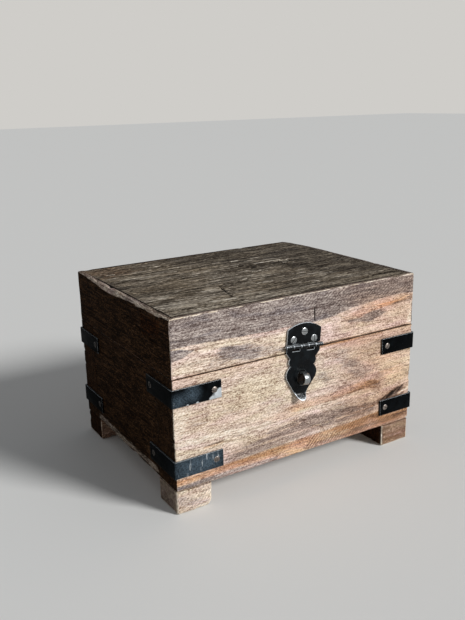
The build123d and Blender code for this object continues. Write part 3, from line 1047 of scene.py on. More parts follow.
    def _marked(self, tones: np.ndarray, rest: np.ndarray, middle: np.ndarray) -> np.ndarray:
        """Paint the marks into the tones, in place, and work out how they cut in.

        Args:
            tones: The painted values, changed here.
            rest: The points before any wear.
            middle: The floor below the middle of the case.

        Returns:
            How far each point moves, n by 3.
        """
        cuts = np.zeros((len(rest), 3))
        axis, way = self.face.value
        close = self._near(rest, self.face, self.MARK_REACH)
        others = [a for a in range(3) if a != axis]
        grain = others.index(self.timber.grain)
        flat = rest[:, others] - middle[others]
        for mark in self.marks:
            corners = np.array(mark.points)
            margin = mark.width + mark.soft + 2 * mark.ragged + mark.feather + 2
            within = (flat > corners.min(0) - margin) & (flat < corners.max(0) + margin)
            part = (close > 0.02) & within.all(1)
            if not part.any():
                continue
            weight = mark.weight(flat[part], grain, self.noise) * close[part]
            for tone, amount in mark.tones.items():
                tones[part, tone.value] += amount * weight
            cuts[part, axis] -= way * mark.depth * weight
        return cuts

    def _soil(
        self, tones: np.ndarray, rest: np.ndarray, worn: np.ndarray, dirt: np.ndarray
    ) -> None:
        """Pale the rubbed arrises and darken the joints, in place.

        Args:
            tones: The painted values, changed here.
            rest: The points before any wear.
            worn: How far the outer arrises' rounding moves each point.
            dirt: How far the rounding of the board's own edges does.
        """
        rubbed = smooth(*self.PALED, worn) * (0.6 + 0.8 * self.noise.at(rest, 10.0, 2))
        tones[:, Tone.PALE.value] += self.relief.rub * rubbed
        tones[:, Tone.AGED.value] *= 1 - 0.6 * smooth(*self.CLEANED, worn)
        joint = smooth(*self.SOILED, dirt) * (1 - smooth(*self.SWEPT, worn))
        if self.open_side:
            joint *= 1 - 0.6 * self._near(rest, self.open_side, 2.0)
            uneven = 0.7 + 0.6 * self.noise.at(rest, 20.0, 3)
            outside = np.minimum(rest - self.envelope[0], self.envelope[1] - rest)[:, :2].min(1)
            joint += uneven * self._near(rest, self.open_side, 0.25) * np.exp(-outside / 1.5)
        tones[:, Tone.STAIN.value] += self.DIRT * joint

    def _object(self, places: np.ndarray, quads: np.ndarray, tones: np.ndarray) -> bpy.types.Object:
        """Put the worked-out places and tones into a Blender object."""
        mesh = bpy.data.meshes.new(self.node + "_worn")
        mesh.from_pydata((places * MM).tolist(), [], quads.tolist())
        packed = tones[:, : Tone.SAW.value].clip(-2, 3)
        colours = mesh.color_attributes.new("tone", "FLOAT_COLOR", "POINT")
        colours.data.foreach_set("color", packed.astype(np.float32).ravel())
        for tone in (Tone.SAW, Tone.AGED):
            values = mesh.attributes.new(tone.name.lower(), "FLOAT", "POINT")
            values.data.foreach_set("value", tones[:, tone.value].clip(0, 1).astype(np.float32))
        mesh.shade_smooth()
        mesh.set_sharp_from_angle(angle=math.radians(self.HARD_ANGLE))
        mesh.materials.append(finish_of(self.timber))
        piece = show(self.node + "_worn", mesh)
        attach(piece, self.body)
        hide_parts(self.node)
        LOG.info("%s: %d faces", piece.name, len(quads))
        return piece


def rounded(points: np.ndarray, low: np.ndarray, high: np.ndarray, radius: np.ndarray) -> np.ndarray:
    """Round a box's arrises: a point past the curve is moved in to it.

    Args:
        points: Places to move.
        low: The box's lowest corner.
        high: Its highest corner.
        radius: Reach of the curve along each axis, for each point.

    Returns:
        The moved places.
    """
    power = 1.75
    core = np.clip(points, low + radius, high - radius)
    off = (points - core) / radius
    size = (np.abs(off) ** power).sum(1) ** (1 / power)
    shrink = np.where(size > 1, 1 / np.maximum(size, 1e-9), 1.0)
    return core + off * shrink[:, None] * radius


def node_box(node: str) -> Box:
    """Lowest and highest corner of a CAD node, in millimetres."""
    low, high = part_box(node)
    return np.array(low) / MM, np.array(high) / MM


def box_of(nodes: Iterable[str]) -> Box:
    """Lowest and highest corner of several CAD nodes together, in millimetres."""
    boxes = [node_box(node) for node in nodes]
    return np.min([b[0] for b in boxes], 0), np.max([b[1] for b in boxes], 0)


@cache
def finish_of(finish: OldTimber | WornMetal) -> bpy.types.Material:
    """The material of a finish, made once."""
    return finish.material()


# ---- Making marks ----


def fissures(
    area: str,
    count: int,
    seed: int,
    length: Pair = (25.0, 90.0),
    width: Pair = (0.4, 1.0),
    depth: Pair = (0.3, 1.0),
    amount: float = 0.8,
    tone: Tone = Tone.STAIN,
) -> tuple[Mark, ...]:
    """Scatter long drying cracks, or other thin marks, over a face.

    Args:
        area: Lowest and highest corner of the part that gets them, as for path().
        count: How many.
        seed: Of the random numbers.
        length: Shortest and longest.
        width: Narrowest and widest half width.
        depth: Shallowest and deepest.
        amount: How dark they are.
        tone: What they change, if not the stain.

    Returns:
        The cracks.
    """
    rng = np.random.default_rng(seed)
    low, high = np.array(path(area))
    out = []
    for _ in range(count):
        start = rng.uniform(low, high)
        run = rng.uniform(*length)
        points = []
        for t in np.linspace(0, 1, 7):
            point = start + [run * (t - 0.5), rng.normal(0, 0.6)]
            points.append(tuple(np.clip(point, low, high)))
        share = rng.uniform(0, 1)
        half_width = width[0] + share * (width[1] - width[0])
        cut = depth[0] + share * (depth[1] - depth[0])
        amounts = {tone: amount * (0.5 + 0.5 * share)}
        out.append(Mark(tuple(points), amounts, half_width, 1.2, 0.7, 0.0, False, cut))
    return tuple(out)


def path(text: str) -> tuple[Pair, ...]:
    """Turn places such as "-160,117 -139,116" into pairs."""
    return tuple(tuple(float(part) for part in place.split(",")) for place in text.split())


def toned(**amounts: float) -> dict[Tone, float]:
    """Amounts by the tones' names, such as heart=0.5."""
    return {Tone[name.upper()]: amount for name, amount in amounts.items()}


def patch(
    points: str,
    soft: float = 3.0,
    ragged: float = 2.5,
    feather: float = 8.0,
    depth: float = 0.0,
    **tones: float,
) -> Mark:
    """A closed patch within a path of (along, up) or (x, y) places."""
    return Mark(path(points), toned(**tones), 0.0, soft, ragged, feather, True, depth)


def streak(
    points: str,
    width: float,
    soft: float = 1.5,
    ragged: float = 1.0,
    depth: float = 0.0,
    feather: float = 0.0,
    **tones: float,
) -> Mark:
    """An open line along such a path, this far to each side of it."""
    return Mark(path(points), toned(**tones), width, soft, ragged, feather, False, depth)


# The hasp's painted shadow on the wood behind it: the hasp's outline, a little smaller, darkened
# with the stain colour.
HASP_SHADOW = "-22,176 19,176 19,140 14,126 12,116 -4,97 -18,116 -17,128 -23,142"
COVERED = 20.0  # how far an envelope runs on past edges that another body covers
PLAY = 0.3  # round a board that lies in a groove or rebate


# ---- Case ----


@dataclass
class Case:
    """The lower box: four boards round a bottom board, on four block feet."""

    boards: tuple[str, ...] = ("front_board", "back_board", "left_end_board", "right_end_board")
    feet: tuple[str, ...] = ("front_left_foot", "front_right_foot", "rear_left_foot",
                             "rear_right_foot")
    relief: Relief = Relief(arris=1.3, rub=1.2, chips=14, chip=3.5)
    screw_hole: Pair = (4.6, 3.0)  # radius and depth, in the feet

    def front_marks(self) -> tuple[Mark, ...]:
        """What shows on the front board."""
        return (
            patch("-160,117 -139,116 -140.5,107 -146.5,96 -150.6,85 -162,84", 1.5, 0.6, 0,
                  heart=-0.9, pale=0.45, warm=0.2),
            patch("-143,112 -58,118 -58,90 -105,85 -144,87", 14, 5, 18, heart=0.2, warm=0.12),
            streak("-162,80 -115,77 -58,73 -33,73", 3.4, 4.0, 1.5, feather=12, heart=-0.6,
                   pale=0.4),
            streak("-125,68.6 -110,68.7 -96,70.6 -74,69.6", 0.5, 1.4, 0.8, 0.7, stain=0.6),
            streak("-126,67.5 -112,67.5 -104,69", 1.3, 1.5, 0.6, 0.3, stain=0.25, warm=0.5),
            patch("-101,45 -100,55 -59,60 -30,66 -12,71 14,69 41,68 69,65.5 109,60 109,53 98,51 "
                  "41,50 -12,47 -59,45", 6, 2.5, 14, heart=0.48, warm=0.35, stain=0.05),
            patch("-162,40.5 -129,42 -101,41.5 -67,43 -5,44.5 41,45 80,47 116,49 162,47 162,25 "
                  "-162,25", 2.5, 1.0, 8, warm=0.75, heart=-0.05),
            streak("-162,38 -100,39 -20,40 60,41 110,44", 3.4, 3.5, 1.5, feather=14, warm=0.3,
                   heart=0.22),
            streak("-162,30 -90,30.5 -40,29", 2.8, 2.5, 1.5, feather=10, heart=0.55, warm=-0.7),
            streak("20,31 90,34 160,35", 2.6, 3.0, 1.5, feather=10, heart=0.35, pale=0.1),
            patch("0,26 162,26 162,50 80,48 10,44", 6, 4, saw=0.8),
            patch("-162,148 162,148 162,26 -162,26", 4, 4, saw=0.25),
            patch("60,150 165,150 165,26 60,26", 80, 8, 0, heart=0.18, warm=0.62),
            patch("90,64 165,68 165,26 60,26", 24, 6, 8, heart=0.12, warm=0.1),
            streak("-14,83 32,84 77,87.5 104,86", 4.2, 4.5, 2.0, feather=14, warm=0.55, heart=0.08),
            patch("84.6,94 112,88 114,74 98,80", 4, 1.5, 5, warm=0.4, heart=0.26),
            patch("105,118 158,120 158,80 125,84", 8, 4, 10, heart=-0.4, pale=0.12),
            patch("22,124 40,106 32,100 14,112", 8, 4, 6, heart=0.28),
            patch("54,141 72,122 98,104 82,97 52,116 44,134", 9, 4, 8, heart=0.28),
            patch("108,62 120,66 134,71 150,74 152,68 150,60 108,58", 3, 1.2, 3, 0.3, stain=0.42,
                  warm=0.6, heart=0.5),
            streak("116,62 124,66.5", 1.2, 2.0, 1.0, 0.3, stain=0.35),
            streak("124,62 133,69", 1.4, 2.0, 1.0, 0.4, stain=0.4),
            streak("131,64 142,73", 1.4, 2.0, 1.0, 0.4, stain=0.45),
            streak("141,67 150,74.5", 1.0, 2.0, 1.0, 0.3, stain=0.4),
            streak("143,64 160,69", 1.2, 1.4, 0.6, pale=0.8, heart=-0.9, stain=-0.6),
            streak("-10,148.6 40,148.6 112,148.5 160,148.6", 0.7, 1.4, 0.6, stain=0.45, warm=0.9),
            streak("-160,148.8 -90,148.7 -25,148.6", 0.5, 1.2, 0.7, stain=0.42, warm=0.8),
            patch("-165,88 -110,88 -40,82 -40,68 -165,66", 14, 4, 14, heart=-0.3, pale=0.3),
            patch("-165,146 -20,146 -60,112 -165,118", 16, 4, 14, heart=-0.1, pale=0.18),
            patch("-165,118 -60,118 -60,86 -165,86", 14, 4, 14, heart=-0.16, pale=0.2),
            streak("-95,66 -50,66.5 -10,70.5", 1.2, 1.6, 0.8, feather=10, heart=-0.6, pale=0.15),
            streak("-100,60 -40,60 -5,63.5", 0.9, 1.6, 1.4, feather=16, heart=-0.4, warm=-0.1),
            streak("-100,52 -50,52.5 10,54 80,55.5", 1.0, 1.6, 1.4, feather=16, heart=-0.35,
                   warm=-0.1),
            streak("-12,80 40,80.5 86,84", 0.7, 1.6, 0.8, feather=14, warm=0.3, heart=0.25),
            streak("-30,76 30,76 70,78", 0.9, 1.4, 0.8, feather=10, heart=-0.6, pale=0.2),
            # Painted shadow under the hasp, and painted shade seen through the staple's slot and the
            # windows under the knuckles.
            patch(HASP_SHADOW, 5, 2.0, 0, stain=0.55),
            streak("-0.8,112 -0.8,124", 6.5, 3.0, 1.0, stain=0.9),
            streak("-15,147 11,148", 2.2, 1.2, 0.3, stain=0.8),
            streak("20,147.2 113,147.2", 1.4, 1.4, 0.8, warm=0.5, heart=0.2),
            patch("-60,80 -5,88 -5,74 -42,74", 5, 2, 12, warm=0.3, heart=-0.45),
            patch("-162,149 162,149 162,140 -162,138", 7, 3, 0, heart=-0.1, warm=0.15),
            *fissures("-155,32 155,144", 30, 31, (8, 45), (0.2, 0.45), (0.1, 0.3), 0.35),
            *fissures("-12,53 108,70", 40, 32, (4, 15), (0.1, 0.4), (0.1, 0.2), 0.5),
        )

    def build(self, middle: np.ndarray) -> None:
        """Make the boards and feet."""
        low, high = box_of(self.boards)
        floor = node_box("bottom_board")
        groove = (floor[0] - [PLAY, PLAY, 0], floor[1] + PLAY)
        # The boards' top edges lie under the lid, so they aren't outer arrises.
        spec = dict(body="case", slot="case_timber", envelope=(low, high + [0, 0, COVERED]),
                    hollows=(groove,), open_side=Side.TOP)
        # browned lays the aged brown on the boards' left sides as painted shade.
        browned = toned(aged=1.0)
        inside = toned(heart=0.4, aged=0.35)
        cracks = partial(fissures, depth=(0.3, 0.9), amount=0.7)
        rubbed = streak("88,33 20,31 -80,33", 4, 4, 2, pale=0.3, aged=-0.35)
        Board("front_board", timber=MANGO_X, relief=self.relief, marks=self.front_marks(),
              base=toned(heart=0.2),
              sides={Side.LEFT: browned, Side.RIGHT: toned(aged=0.5), Side.BACK: inside},
              seed=11, **spec).build(middle)
        Board("back_board", timber=MANGO_X, relief=self.relief, face=Side.BACK,
              marks=cracks("-155,32 155,146", 24, 7, (30, 120), (0.3, 0.7), depth=(0.3, 0.8)),
              base=toned(heart=0.4, aged=0.3, warm=0.2),
              sides={Side.LEFT: browned, Side.RIGHT: toned(aged=0.1)},
              seed=14, **spec).build(middle)
        Board("left_end_board", timber=MANGO_Y, relief=replace(self.relief, ridge=0.35),
              marks=(*cracks("-85,32 85,146", 20, 5, (25, 110), (0.3, 0.6)), rubbed),
              face=Side.LEFT, base=toned(heart=0.4),
              sides={Side.LEFT: browned, Side.RIGHT: inside}, seed=12, **spec).build(middle)
        Board("right_end_board", timber=MANGO_Y, relief=self.relief, face=Side.RIGHT,
              marks=cracks("-85,32 85,146", 16, 6, (25, 90), (0.3, 0.7)),
              base=toned(heart=0.35, warm=0.2),
              sides={Side.RIGHT: toned(aged=0.3), Side.LEFT: inside},
              seed=13, **spec).build(middle)
        Board("bottom_board", "case", "case_timber", MANGO_X, floor,
              Relief(warp=0.2, ridge=0.2, arris=0.4, seam=0.4, chips=0), seed=15, fine=2.4,
              base=toned(heart=0.5, aged=0.4)).build(middle)
        self.build_feet(middle)

    def build_feet(self, middle: np.ndarray) -> None:
        """Make the four block feet."""
        corner = (Wear((Side.RIGHT, Side.UNDER), ((-130, 8.0, 7.0), (130, 8.0, 7.0))),)
        for seed, foot in enumerate(self.feet, 40):
            front = foot.startswith("front")
            planed = foot == "front_left_foot"
            browned = 0.0 if planed else 0.5
            # A foot's top lies under a board, so its upper edges aren't outer arrises.
            low, high = node_box(foot)
            left, right = low[0] - middle[0], high[0] - middle[0]
            rim = f"{left},{high[2]} {left},0 {right},0 {right},{high[2]}"
            chipped = streak(rim, 0.9, 1.8, 1.2, pale=0.9, heart=-0.8, aged=-0.4)
            Board(foot, "case", "foot_timber", MANGO_X, (low, high + [0, 0, COVERED]),
                  Relief(warp=0.4, ridge=0.3, arris=2.4, rub=1.5 if front else 0.8, chips=8,
                         chip=4.5),
                  marks=(chipped,) if front else (), wear=corner if planed else (),
                  bore=self.screw_hole, stretch=1.0, seed=seed,
                  base=toned(heart=0.3, aged=browned, warm=1.6 * browned, saw=0.4),
                  # The feet's left sides get aged brown as painted shade.
                  sides={Side.LEFT: toned(aged=0.6)}).build(middle)


# ---- Lid ----


@dataclass
class Lid:
    """The deep lid: four mitred rails round a top board that lies in their rebate."""

    rails: tuple[str, ...] = ("lid_front_rail", "lid_right_rail", "lid_back_rail", "lid_left_rail")
    relief: Relief = Relief(arris=1.8, rub=1.3, chips=14, chip=4.0)

    def front_marks(self) -> tuple[Mark, ...]:
        """What shows on the front rail."""
        return (
            patch("-164,181 -100,180 -56,178.5 -24,178.5 15,178 35,179.5 50,181.5 70,185 95,188.2 "
                  "128,190.3 164,188.5 164,215 -164,215", 2.0, 0.8, 6, heart=0.95),
            patch("-162,180.5 -132,175.6 -148,169 -162,167.5", 2, 0.8, 5, heart=0.95),
            patch("-72,176.5 -25,176.5 -25,158 -57,170.5", 1.6, 1.0, 3, heart=-0.9, pale=0.3),
            patch("-104,173 -60,168 -25,158 -22,150 -70,152 -106,160", 5, 3, 8, heart=0.36),
            patch("-128,176 -104,176 -122,152 -158,152 -155,163 -138,169", 1.8, 0.9, 2, heart=-0.5,
                  pale=0.35),
            patch("52,175 75,181 99,186 140,189 162,186 141,183 99,175 75,171", 3, 1.5, 8,
                  heart=-0.9, pale=0.15, warm=0.25),
            streak("96,179 125,181.5 164,183.5", 2.6, 2.8, 1.0, feather=12, warm=0.45, heart=0.62),
            patch("63,170 93,162 117,171 98,178 75,175", 4, 2, 5, heart=0.5),
            streak("-20,150 60,149.8 158,150", 0.8, 1.6, 0.8, warm=0.8, heart=0.35, stain=0.35),
            streak("-160,149.6 -90,149.5 -25,149.6", 0.5, 1.2, 0.7, stain=0.32, warm=0.8),
            streak("14.8,194 14.4,187 14.8,179", 0.7, 0.9, 0.2, 0.9, stain=1.1),
            streak("-160,182.3 -128,180 -60,178.2", 0.5, 1.0, 0.5, 0.3, stain=0.25),
            # Painted shadow under the hasp, and painted shade seen through the windows under the
            # knuckles.
            patch(HASP_SHADOW, 5, 2.0, 0, stain=0.55),
            streak("-15,151.5 11,152.5", 2.6, 1.2, 0.3, stain=0.8),
            patch("0,196 20,180 60,186 162,192 162,211 -30,211", 12, 7, saw=0.75),
            patch("-164,211 0,211 0,180 -164,180", 8, 5, saw=0.3),
            patch("60,215 165,215 165,148 60,148", 80, 8, 0, heart=0.2, warm=0.5),
            patch("156,178 164,176 164,148 150,153 156,165", 1.5, 1.0, 0, 0.9, pale=0.6,
                  heart=-0.4),
            patch("-150,174 -60,166 -60,150 -150,152", 12, 5, 10, heart=0.27),
            *fissures("-155,152 155,208", 26, 68, (8, 40), (0.2, 0.45), (0.1, 0.3), 0.35),
        )

    def left_marks(self) -> tuple[Mark, ...]:
        """What shows on the left rail."""
        return (
            patch("-60,202 -104,204 -102,184 -60,180", 2, 1, 4, warm=0.9),
            streak("-61,206 -62.5,198 -62,191", 0.6, 1.0, 0.4, 1.3, stain=0.9),
            streak("-45,186 -70,181.5 -97,177", 0.8, 1.2, 0.6, 1.5, stain=0.9),
            streak("110,165 60,162 40,163", 0.6, 1.2, 0.6, 1.0, stain=0.9),
            *fissures("-118,154 118,206", 12, 62, (25, 80), (0.3, 0.6), (0.3, 0.8), 0.7),
        )

    def top_marks(self) -> tuple[Mark, ...]:
        """What shows on the top board."""
        cracks = (
            ("-62,38 -41,41 -15,43 -1,44", 1.3, 1.6),
            ("20,73 45,72 72,71", 1.0, 1.3),
            ("8,28 22,26 34,28", 1.1, 1.2),
            ("60,-6 90,-9 130,-10", 1.1, 1.4),
            ("-62,-62 -40,-68 -3,-65 30,-71 70,-73", 0.9, 1.1),
            ("-56,-43.5 -60,-60 -66.4,-88", 0.8, 1.0),
            ("72,27 70,12 68,-2", 1.0, 1.1),
            ("-140,20 -90,16 -40,12 10,8", 0.8, 0.9),
            ("-120,70 -60,76 0,84", 0.8, 0.9),
            ("30,100 80,98 120,101", 0.9, 1.0),
            ("-150,-20 -110,-25 -70,-22", 0.9, 0.9),
        )
        pale = (
            "-78,-42 -62,-46 -60,-54 -78,-60",
            "-35,-60 -20,-56 4,-28 18,-28 2,-40 -26,-62",
            "68,34 80,30 82,8 74,10",
            "-130,-38 -116,-44 -122,-56 -144,-54",
            "-88,64 -52,51 -50,47 -90,58",
            "44,-84 58,-96 52,-100 40,-90",
            "-20,-10 6,-14 4,-22 -24,-18",
        )
        holes = path("-53,-13 -54,-40 -85,-36 -79,-27 -12,4 24,14")
        fibres = partial(fissures, tone=Tone.PALE)
        return (
            *(streak(line, width, 1.2, 0.8, depth, stain=0.95) for line, width, depth in cracks),
            *(patch(shape, 5, 5, 16, 0.2, pale=0.5, heart=-0.8) for shape in pale),
            *(streak(f"{x},{y} {x + 5},{y + 1}", 1.6, 1.6, 0.8, 1.2, stain=0.9) for x, y in holes),
            patch("-156,122 -110,122 -100,85 -150,60", 14, 6, 20, warm=0.7, pale=0.2),
            patch("-160,-50 -160,-125 60,-125 -20,-90", 50, 10, 20, pale=0.4, heart=-0.3),
            streak("-156,-119.5 156,-119.5", 2.2, 1.6, 0.7, stain=1.0),
            streak("-154.2,-120 -154.2,70", 1.3, 1.4, 0.7, stain=1.0),
            patch("-60,122 158,122 158,-60 90,-60", 60, 10, 20, heart=0.45),
            *fibres("-90,-70 90,75", 70, 64, (5, 22), (0.3, 0.9), (0.1, 0.4), 1.3),
            *fibres("-150,-100 100,95", 60, 69, (6, 40), (0.3, 0.8), (0.1, 0.3), 1.0),
            *fissures("-150,-114 150,114", 60, 63, (25, 130), (0.5, 1.3), (0.3, 1.1), 0.8),
        )

    def rebate(self, grain: int) -> tuple[Box, ...]:
        """The step that the top board lies in, run past the mitred ends of a rail."""
        low, high = node_box("lid_top_board")
        low, high = low - [PLAY, PLAY, 0], high + [PLAY, PLAY, 1]
        low[grain], high[grain] = -1000.0, 1000.0
        return ((low, high),)

    def build(self, middle: np.ndarray) -> None:
        """Make the rails and the top board."""
        low, high = box_of(self.rails)
        # The rails' lower edges lie on the case, so they aren't outer arrises.
        shared = dict(body="lid", slot="lid_timber", envelope=(low - [0, 0, COVERED], high), wear=(
            Wear((Side.LEFT, Side.TOP), ((-126, 5.0, 3.2), (-40, 5.5, 4.0), (8, 8.0, 6.5),
                                         (45, 9.0, 7.0), (80, 4.0, 3.0), (126, 2.0, 1.6))),
            Wear((Side.FRONT, Side.TOP), ((-160, 2.4, 2.2), (0, 1.6, 1.6), (160, 2.0, 2.0))),
            Wear((Side.RIGHT, Side.TOP), ((-126, 2.0, 1.8), (40, 2.2, 2.0), (75, 4.5, 3.0),
                                          (100, 9.0, 7.0), (126, 13.0, 11.0))),
        ))
        spec = dict(mitred=True, open_side=Side.UNDER, **shared)
        along_x = dict(timber=MANGO_X, hollows=self.rebate(0), **spec)
        along_y = dict(timber=MANGO_Y, hollows=self.rebate(1), **spec)
        inside = toned(heart=0.3, aged=0.35)
        top = {Side.TOP: toned(aged=0.55)}
        Board("lid_front_rail", relief=self.relief, marks=self.front_marks(),
              base=toned(heart=0.12), sides={Side.BACK: inside, **top}, splits=(14.6,), seed=21,
              **along_x).build(middle)
        Board("lid_left_rail", relief=replace(self.relief, rub=0.7), marks=self.left_marks(),
              face=Side.LEFT, base=toned(heart=0.4), splits=(middle[1] - 62,), seed=26,
              # The rail's left side gets aged brown as painted shade.
              sides={Side.LEFT: toned(aged=1.0), Side.RIGHT: inside, **top},
              **along_y).build(middle)
        Board("lid_right_rail", relief=self.relief, face=Side.RIGHT,
              marks=fissures("-118,154 118,206", 10, 66, (25, 80)), base=toned(heart=0.6),
              sides={Side.RIGHT: toned(aged=0.3), Side.LEFT: inside, **top}, seed=23,
              **along_y).build(middle)
        Board("lid_back_rail", relief=self.relief, face=Side.BACK,
              marks=fissures("-155,154 155,206", 12, 67, (25, 110)),
              base=toned(heart=0.6, aged=0.3), sides={Side.FRONT: inside, **top}, seed=24,
              **along_x).build(middle)
        Board("lid_top_board", timber=WEATHERED, marks=self.top_marks(), face=Side.TOP,
              relief=Relief(warp=0.6, ridge=0.5, arris=1.6, chips=0), base=toned(heart=0.4),
              stretch=1.6, seed=25, **shared).build(middle)


# ---- Ironwork ----


@dataclass
class Ironwork:
    """The straps, hasp, hinges and screws.

    Sheet parts get eased arrises and show bare metal where the sheet was cut.

    Args:
        sheets: Starts of the sheet parts' names, with the axes that the sheet can face.
        bright: Starts of the names of the bright steel parts.
        browned: Starts of the names of the browned steel parts.
        weld: Corners nearer than this are one.
        arris: Width of the eased arrises.
        arris_angle: An edge bent by more degrees than this is an arris.
        hard_angle: An edge bent by more degrees than this stays sharp to the eye.
        sheet: A face deeper than this inside its part is a cut edge.
        knuckle: Reach of the knuckles round their pins, where the skin stays dark but for
        a painted highlight on their upper faces.
        curl: Height of the hasp's curled tip, which fingers have dulled all over.
    """

    sheets: tuple[tuple[str, tuple[int, ...]], ...] = (
        ("strap_front", (0, 1)),
        ("strap_rear", (0, 1)),
        ("hasp_plate", (1,)),
        ("hasp_strap", (1,)),
        ("hinge_case_leaf", (1,)),
        ("hinge_lid_leaf", (1,)),
    )
    bright: tuple[str, ...] = ("hasp_staple", "hasp_plate_screws", "hasp_pin")
    browned: tuple[str, ...] = ("strap_screws", "foot_screws", "hinge_pin", "hinge_case_screws",
                                "hinge_lid_screws")
    weld: float = 0.005
    arris: float = 0.3
    arris_angle: float = 35.0
    hard_angle: float = 40.0
    sheet: float = 2.2
    knuckle: float = 4.2
    curl: float = 10.5

    def build(self) -> None:
        """Dress every metal node."""
        for name in sorted(frame["nodes"]):
            faces = next((axes for start, axes in self.sheets if name.startswith(start)), None)
            if name.startswith(self.bright):
                self.dress(name, BRIGHT_STEEL, ())
            elif name.startswith(self.browned):
                self.dress(name, BROWNED_STEEL, ())
            elif faces:
                self.dress(name, HASP_IRON if name.startswith("hasp") else BLACK_IRON, faces)

    def dress(self, name: str, finish: WornMetal, faces: tuple[int, ...]) -> None:
        """Put a softened copy of a metal node in its place.

        Args:
            name: The CAD node.
            finish: Its finish.
            faces: The axes that its sheet can face, or none where it isn't a sheet.
        """
        source = frame["nodes"][name]
        draft = show(name + "_draft", source.data.copy())
        weld = draft.modifiers.new("weld", "WELD")
        weld.merge_threshold = self.weld * MM
        bevel = draft.modifiers.new("arris", "BEVEL")
        bevel.width = self.arris * MM
        bevel.segments = 2
        bevel.limit_method = "ANGLE"
        bevel.angle_limit = math.radians(self.arris_angle)
        shape = draft.evaluated_get(bpy.context.evaluated_depsgraph_get())
        mesh = bpy.data.meshes.new_from_object(shape)
        bpy.data.objects.remove(draft)
        mesh.name = name + "_worn"
        mesh.shade_smooth()
        mesh.set_sharp_from_angle(angle=math.radians(self.hard_angle))
        mesh.materials.clear()
        mesh.materials.append(finish_of(finish))
        self.rub(mesh, node_box(name), faces, name == "hasp_strap")
        piece = show(name + "_worn", mesh)
        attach(piece, body_of(source)[0])
        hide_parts(name)
        LOG.info("%s: %d faces", piece.name, len(mesh.polygons))

    def rub(
        self, mesh: bpy.types.Mesh, box: Box, faces: tuple[int, ...], curled: bool
    ) -> None:
        """Mark the cut edges of a sheet as rubbed bare.

        Args:
            mesh: The part's mesh.
            box: The part's lowest and highest corner.
            faces: The axes that its sheet can face.
            curled: Whether it ends in the curled tip.
        """
        count = len(mesh.polygons)
        normals, centres = np.empty((2, count, 3), np.float32)
        mesh.polygons.foreach_get("normal", normals.reshape(-1))
        mesh.polygons.foreach_get("center", centres.reshape(-1))
        centres = centres / MM
        axis = np.abs(normals).argmax(1)
        inside = np.minimum(centres - box[0], box[1] - centres)[np.arange(count), axis]
        broad = np.isin(axis, faces) & (inside < self.sheet)
        cut = np.where(broad, 0.0, 1.0)
        for pin in ("hasp_pin", "hinge_pin_left", "hinge_pin_right"):
            line = sum(node_box(pin)) / 2
            close = np.linalg.norm((centres - line)[:, 1:], axis=1) < self.knuckle
            # The knuckles' upper faces are painted bare as the highlight along the barrel's top; the
            # rest stays dark.
            cut[close] = np.where(normals[close, 2] > 0.2, 0.4, -0.15)
        if curled:
            up = (centres[:, 2] - box[0][2]) / self.curl
            cut = np.where(up < 1, 0.5 - 0.4 * up, cut)
        rubbed = mesh.attributes.new("rubbed", "FLOAT", "FACE")
        rubbed.data.foreach_set("value", cut.astype(np.float32))


# ---- Surroundings ----


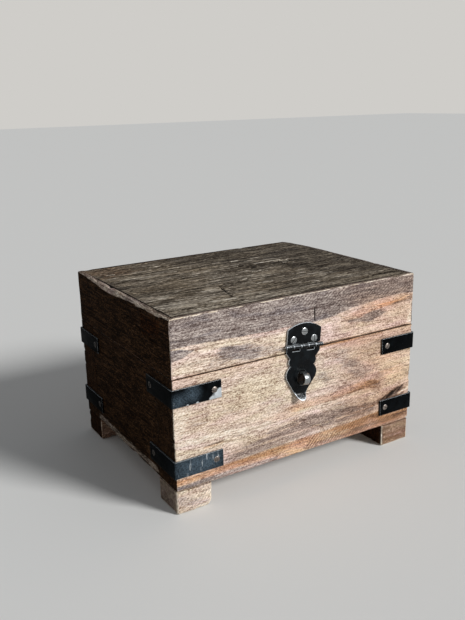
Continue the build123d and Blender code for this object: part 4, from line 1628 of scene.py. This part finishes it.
@dataclass
class Studio:
    """The pale floor, the soft light and the camera, with angles in degrees."""

    camera_mm: Triple = (-443.5, -710.5, 410.2)
    focal_pixels: float = 720.5
    yaw: float = -31.06
    pitch: float = 16.34
    roll: float = -1.31
    key_turn: float = 32.0  # degrees from straight in front, towards the right
    key_rise: float = 30.0
    key_width: float = 16.0
    key_strength: float = 3.3
    surround_strength: float = 0.28
    floor_half: float = 12.0  # in metres

    def build(self) -> None:
        """Make everything that isn't the chest."""
        self.build_floor()
        self.build_lamps()
        self.build_camera()

    def build_floor(self) -> None:
        """A wide floor of matt pale paint, level with the feet."""
        material = bpy.data.materials.new("floor_paint")
        Shader(material).finish(linear("dadad8"), 0.9, 0.1)
        mesh = bpy.data.meshes.new("floor")
        half = self.floor_half
        mesh.from_pydata([(-half, -half, 0), (half, -half, 0), (half, half, 0), (-half, half, 0)],
                         [], [(0, 1, 2, 3)])
        mesh.materials.append(material)
        show("floor", mesh)

    def build_lamps(self) -> None:
        """A broad key light from the front right, and an even pale surround."""
        world = bpy.data.worlds.new("surround")
        bpy.context.scene.world = world
        nodes = Shader(world)
        strength = self.surround_strength
        light = nodes.node("Background", {"Color": linear("f2f4f7"), "Strength": strength})
        seen = nodes.node("Background", {"Color": linear("cfcdc9"), "Strength": 1.0})
        direct = nodes.node("LightPath", None, "Is Camera Ray")
        both = nodes.node("MixShader", {0: direct, 1: light, 2: seen})
        add_node(nodes.tree, "OutputWorld", None, {"Surface": both})
        key = bpy.data.lights.new("key", "SUN")
        key.energy = self.key_strength
        key.angle = math.radians(self.key_width)
        body = show("key", key)
        turn, rise = math.radians(self.key_turn), math.radians(self.key_rise)
        shine = -Vector((math.sin(turn) * math.cos(rise), -math.cos(turn) * math.cos(rise),
                         math.sin(rise)))
        body.rotation_euler = shine.to_track_quat("-Z", "Y").to_euler()

    def build_camera(self) -> None:
        """The camera, by its place, focal length and three angles."""
        yaw, pitch, roll = (math.radians(a) for a in (self.yaw, self.pitch, self.roll))
        ahead = Vector((-math.sin(yaw) * math.cos(pitch), math.cos(yaw) * math.cos(pitch),
                        -math.sin(pitch)))
        level = Vector((math.cos(yaw), math.sin(yaw), 0))
        upright = level.cross(ahead)
        right = math.cos(roll) * level + math.sin(roll) * upright
        up = -math.sin(roll) * level + math.cos(roll) * upright
        turn = Matrix((right, up, -ahead)).transposed().to_4x4()
        data = bpy.data.cameras.new("camera")
        data.sensor_width = SENSOR
        data.lens = self.focal_pixels / LONG_SIDE * SENSOR
        data.clip_start = 0.01
        camera = show("camera", data)
        camera.matrix_world = Matrix.Translation(Vector(self.camera_mm) * MM) @ turn
        bpy.context.scene.camera = camera


def main() -> None:
    """Build the chest and its surroundings."""
    logging.basicConfig(level=logging.INFO, format="%(message)s")
    low, high = box_of(("front_board", "back_board"))
    middle = (low + high) / 2
    middle[2] = 0.0
    bpy.context.scene.view_settings.view_transform = "Standard"
    Case().build(middle)
    Lid().build(middle)
    Ironwork().build()
    Studio().build()


if __name__ == "__main__":
    main()
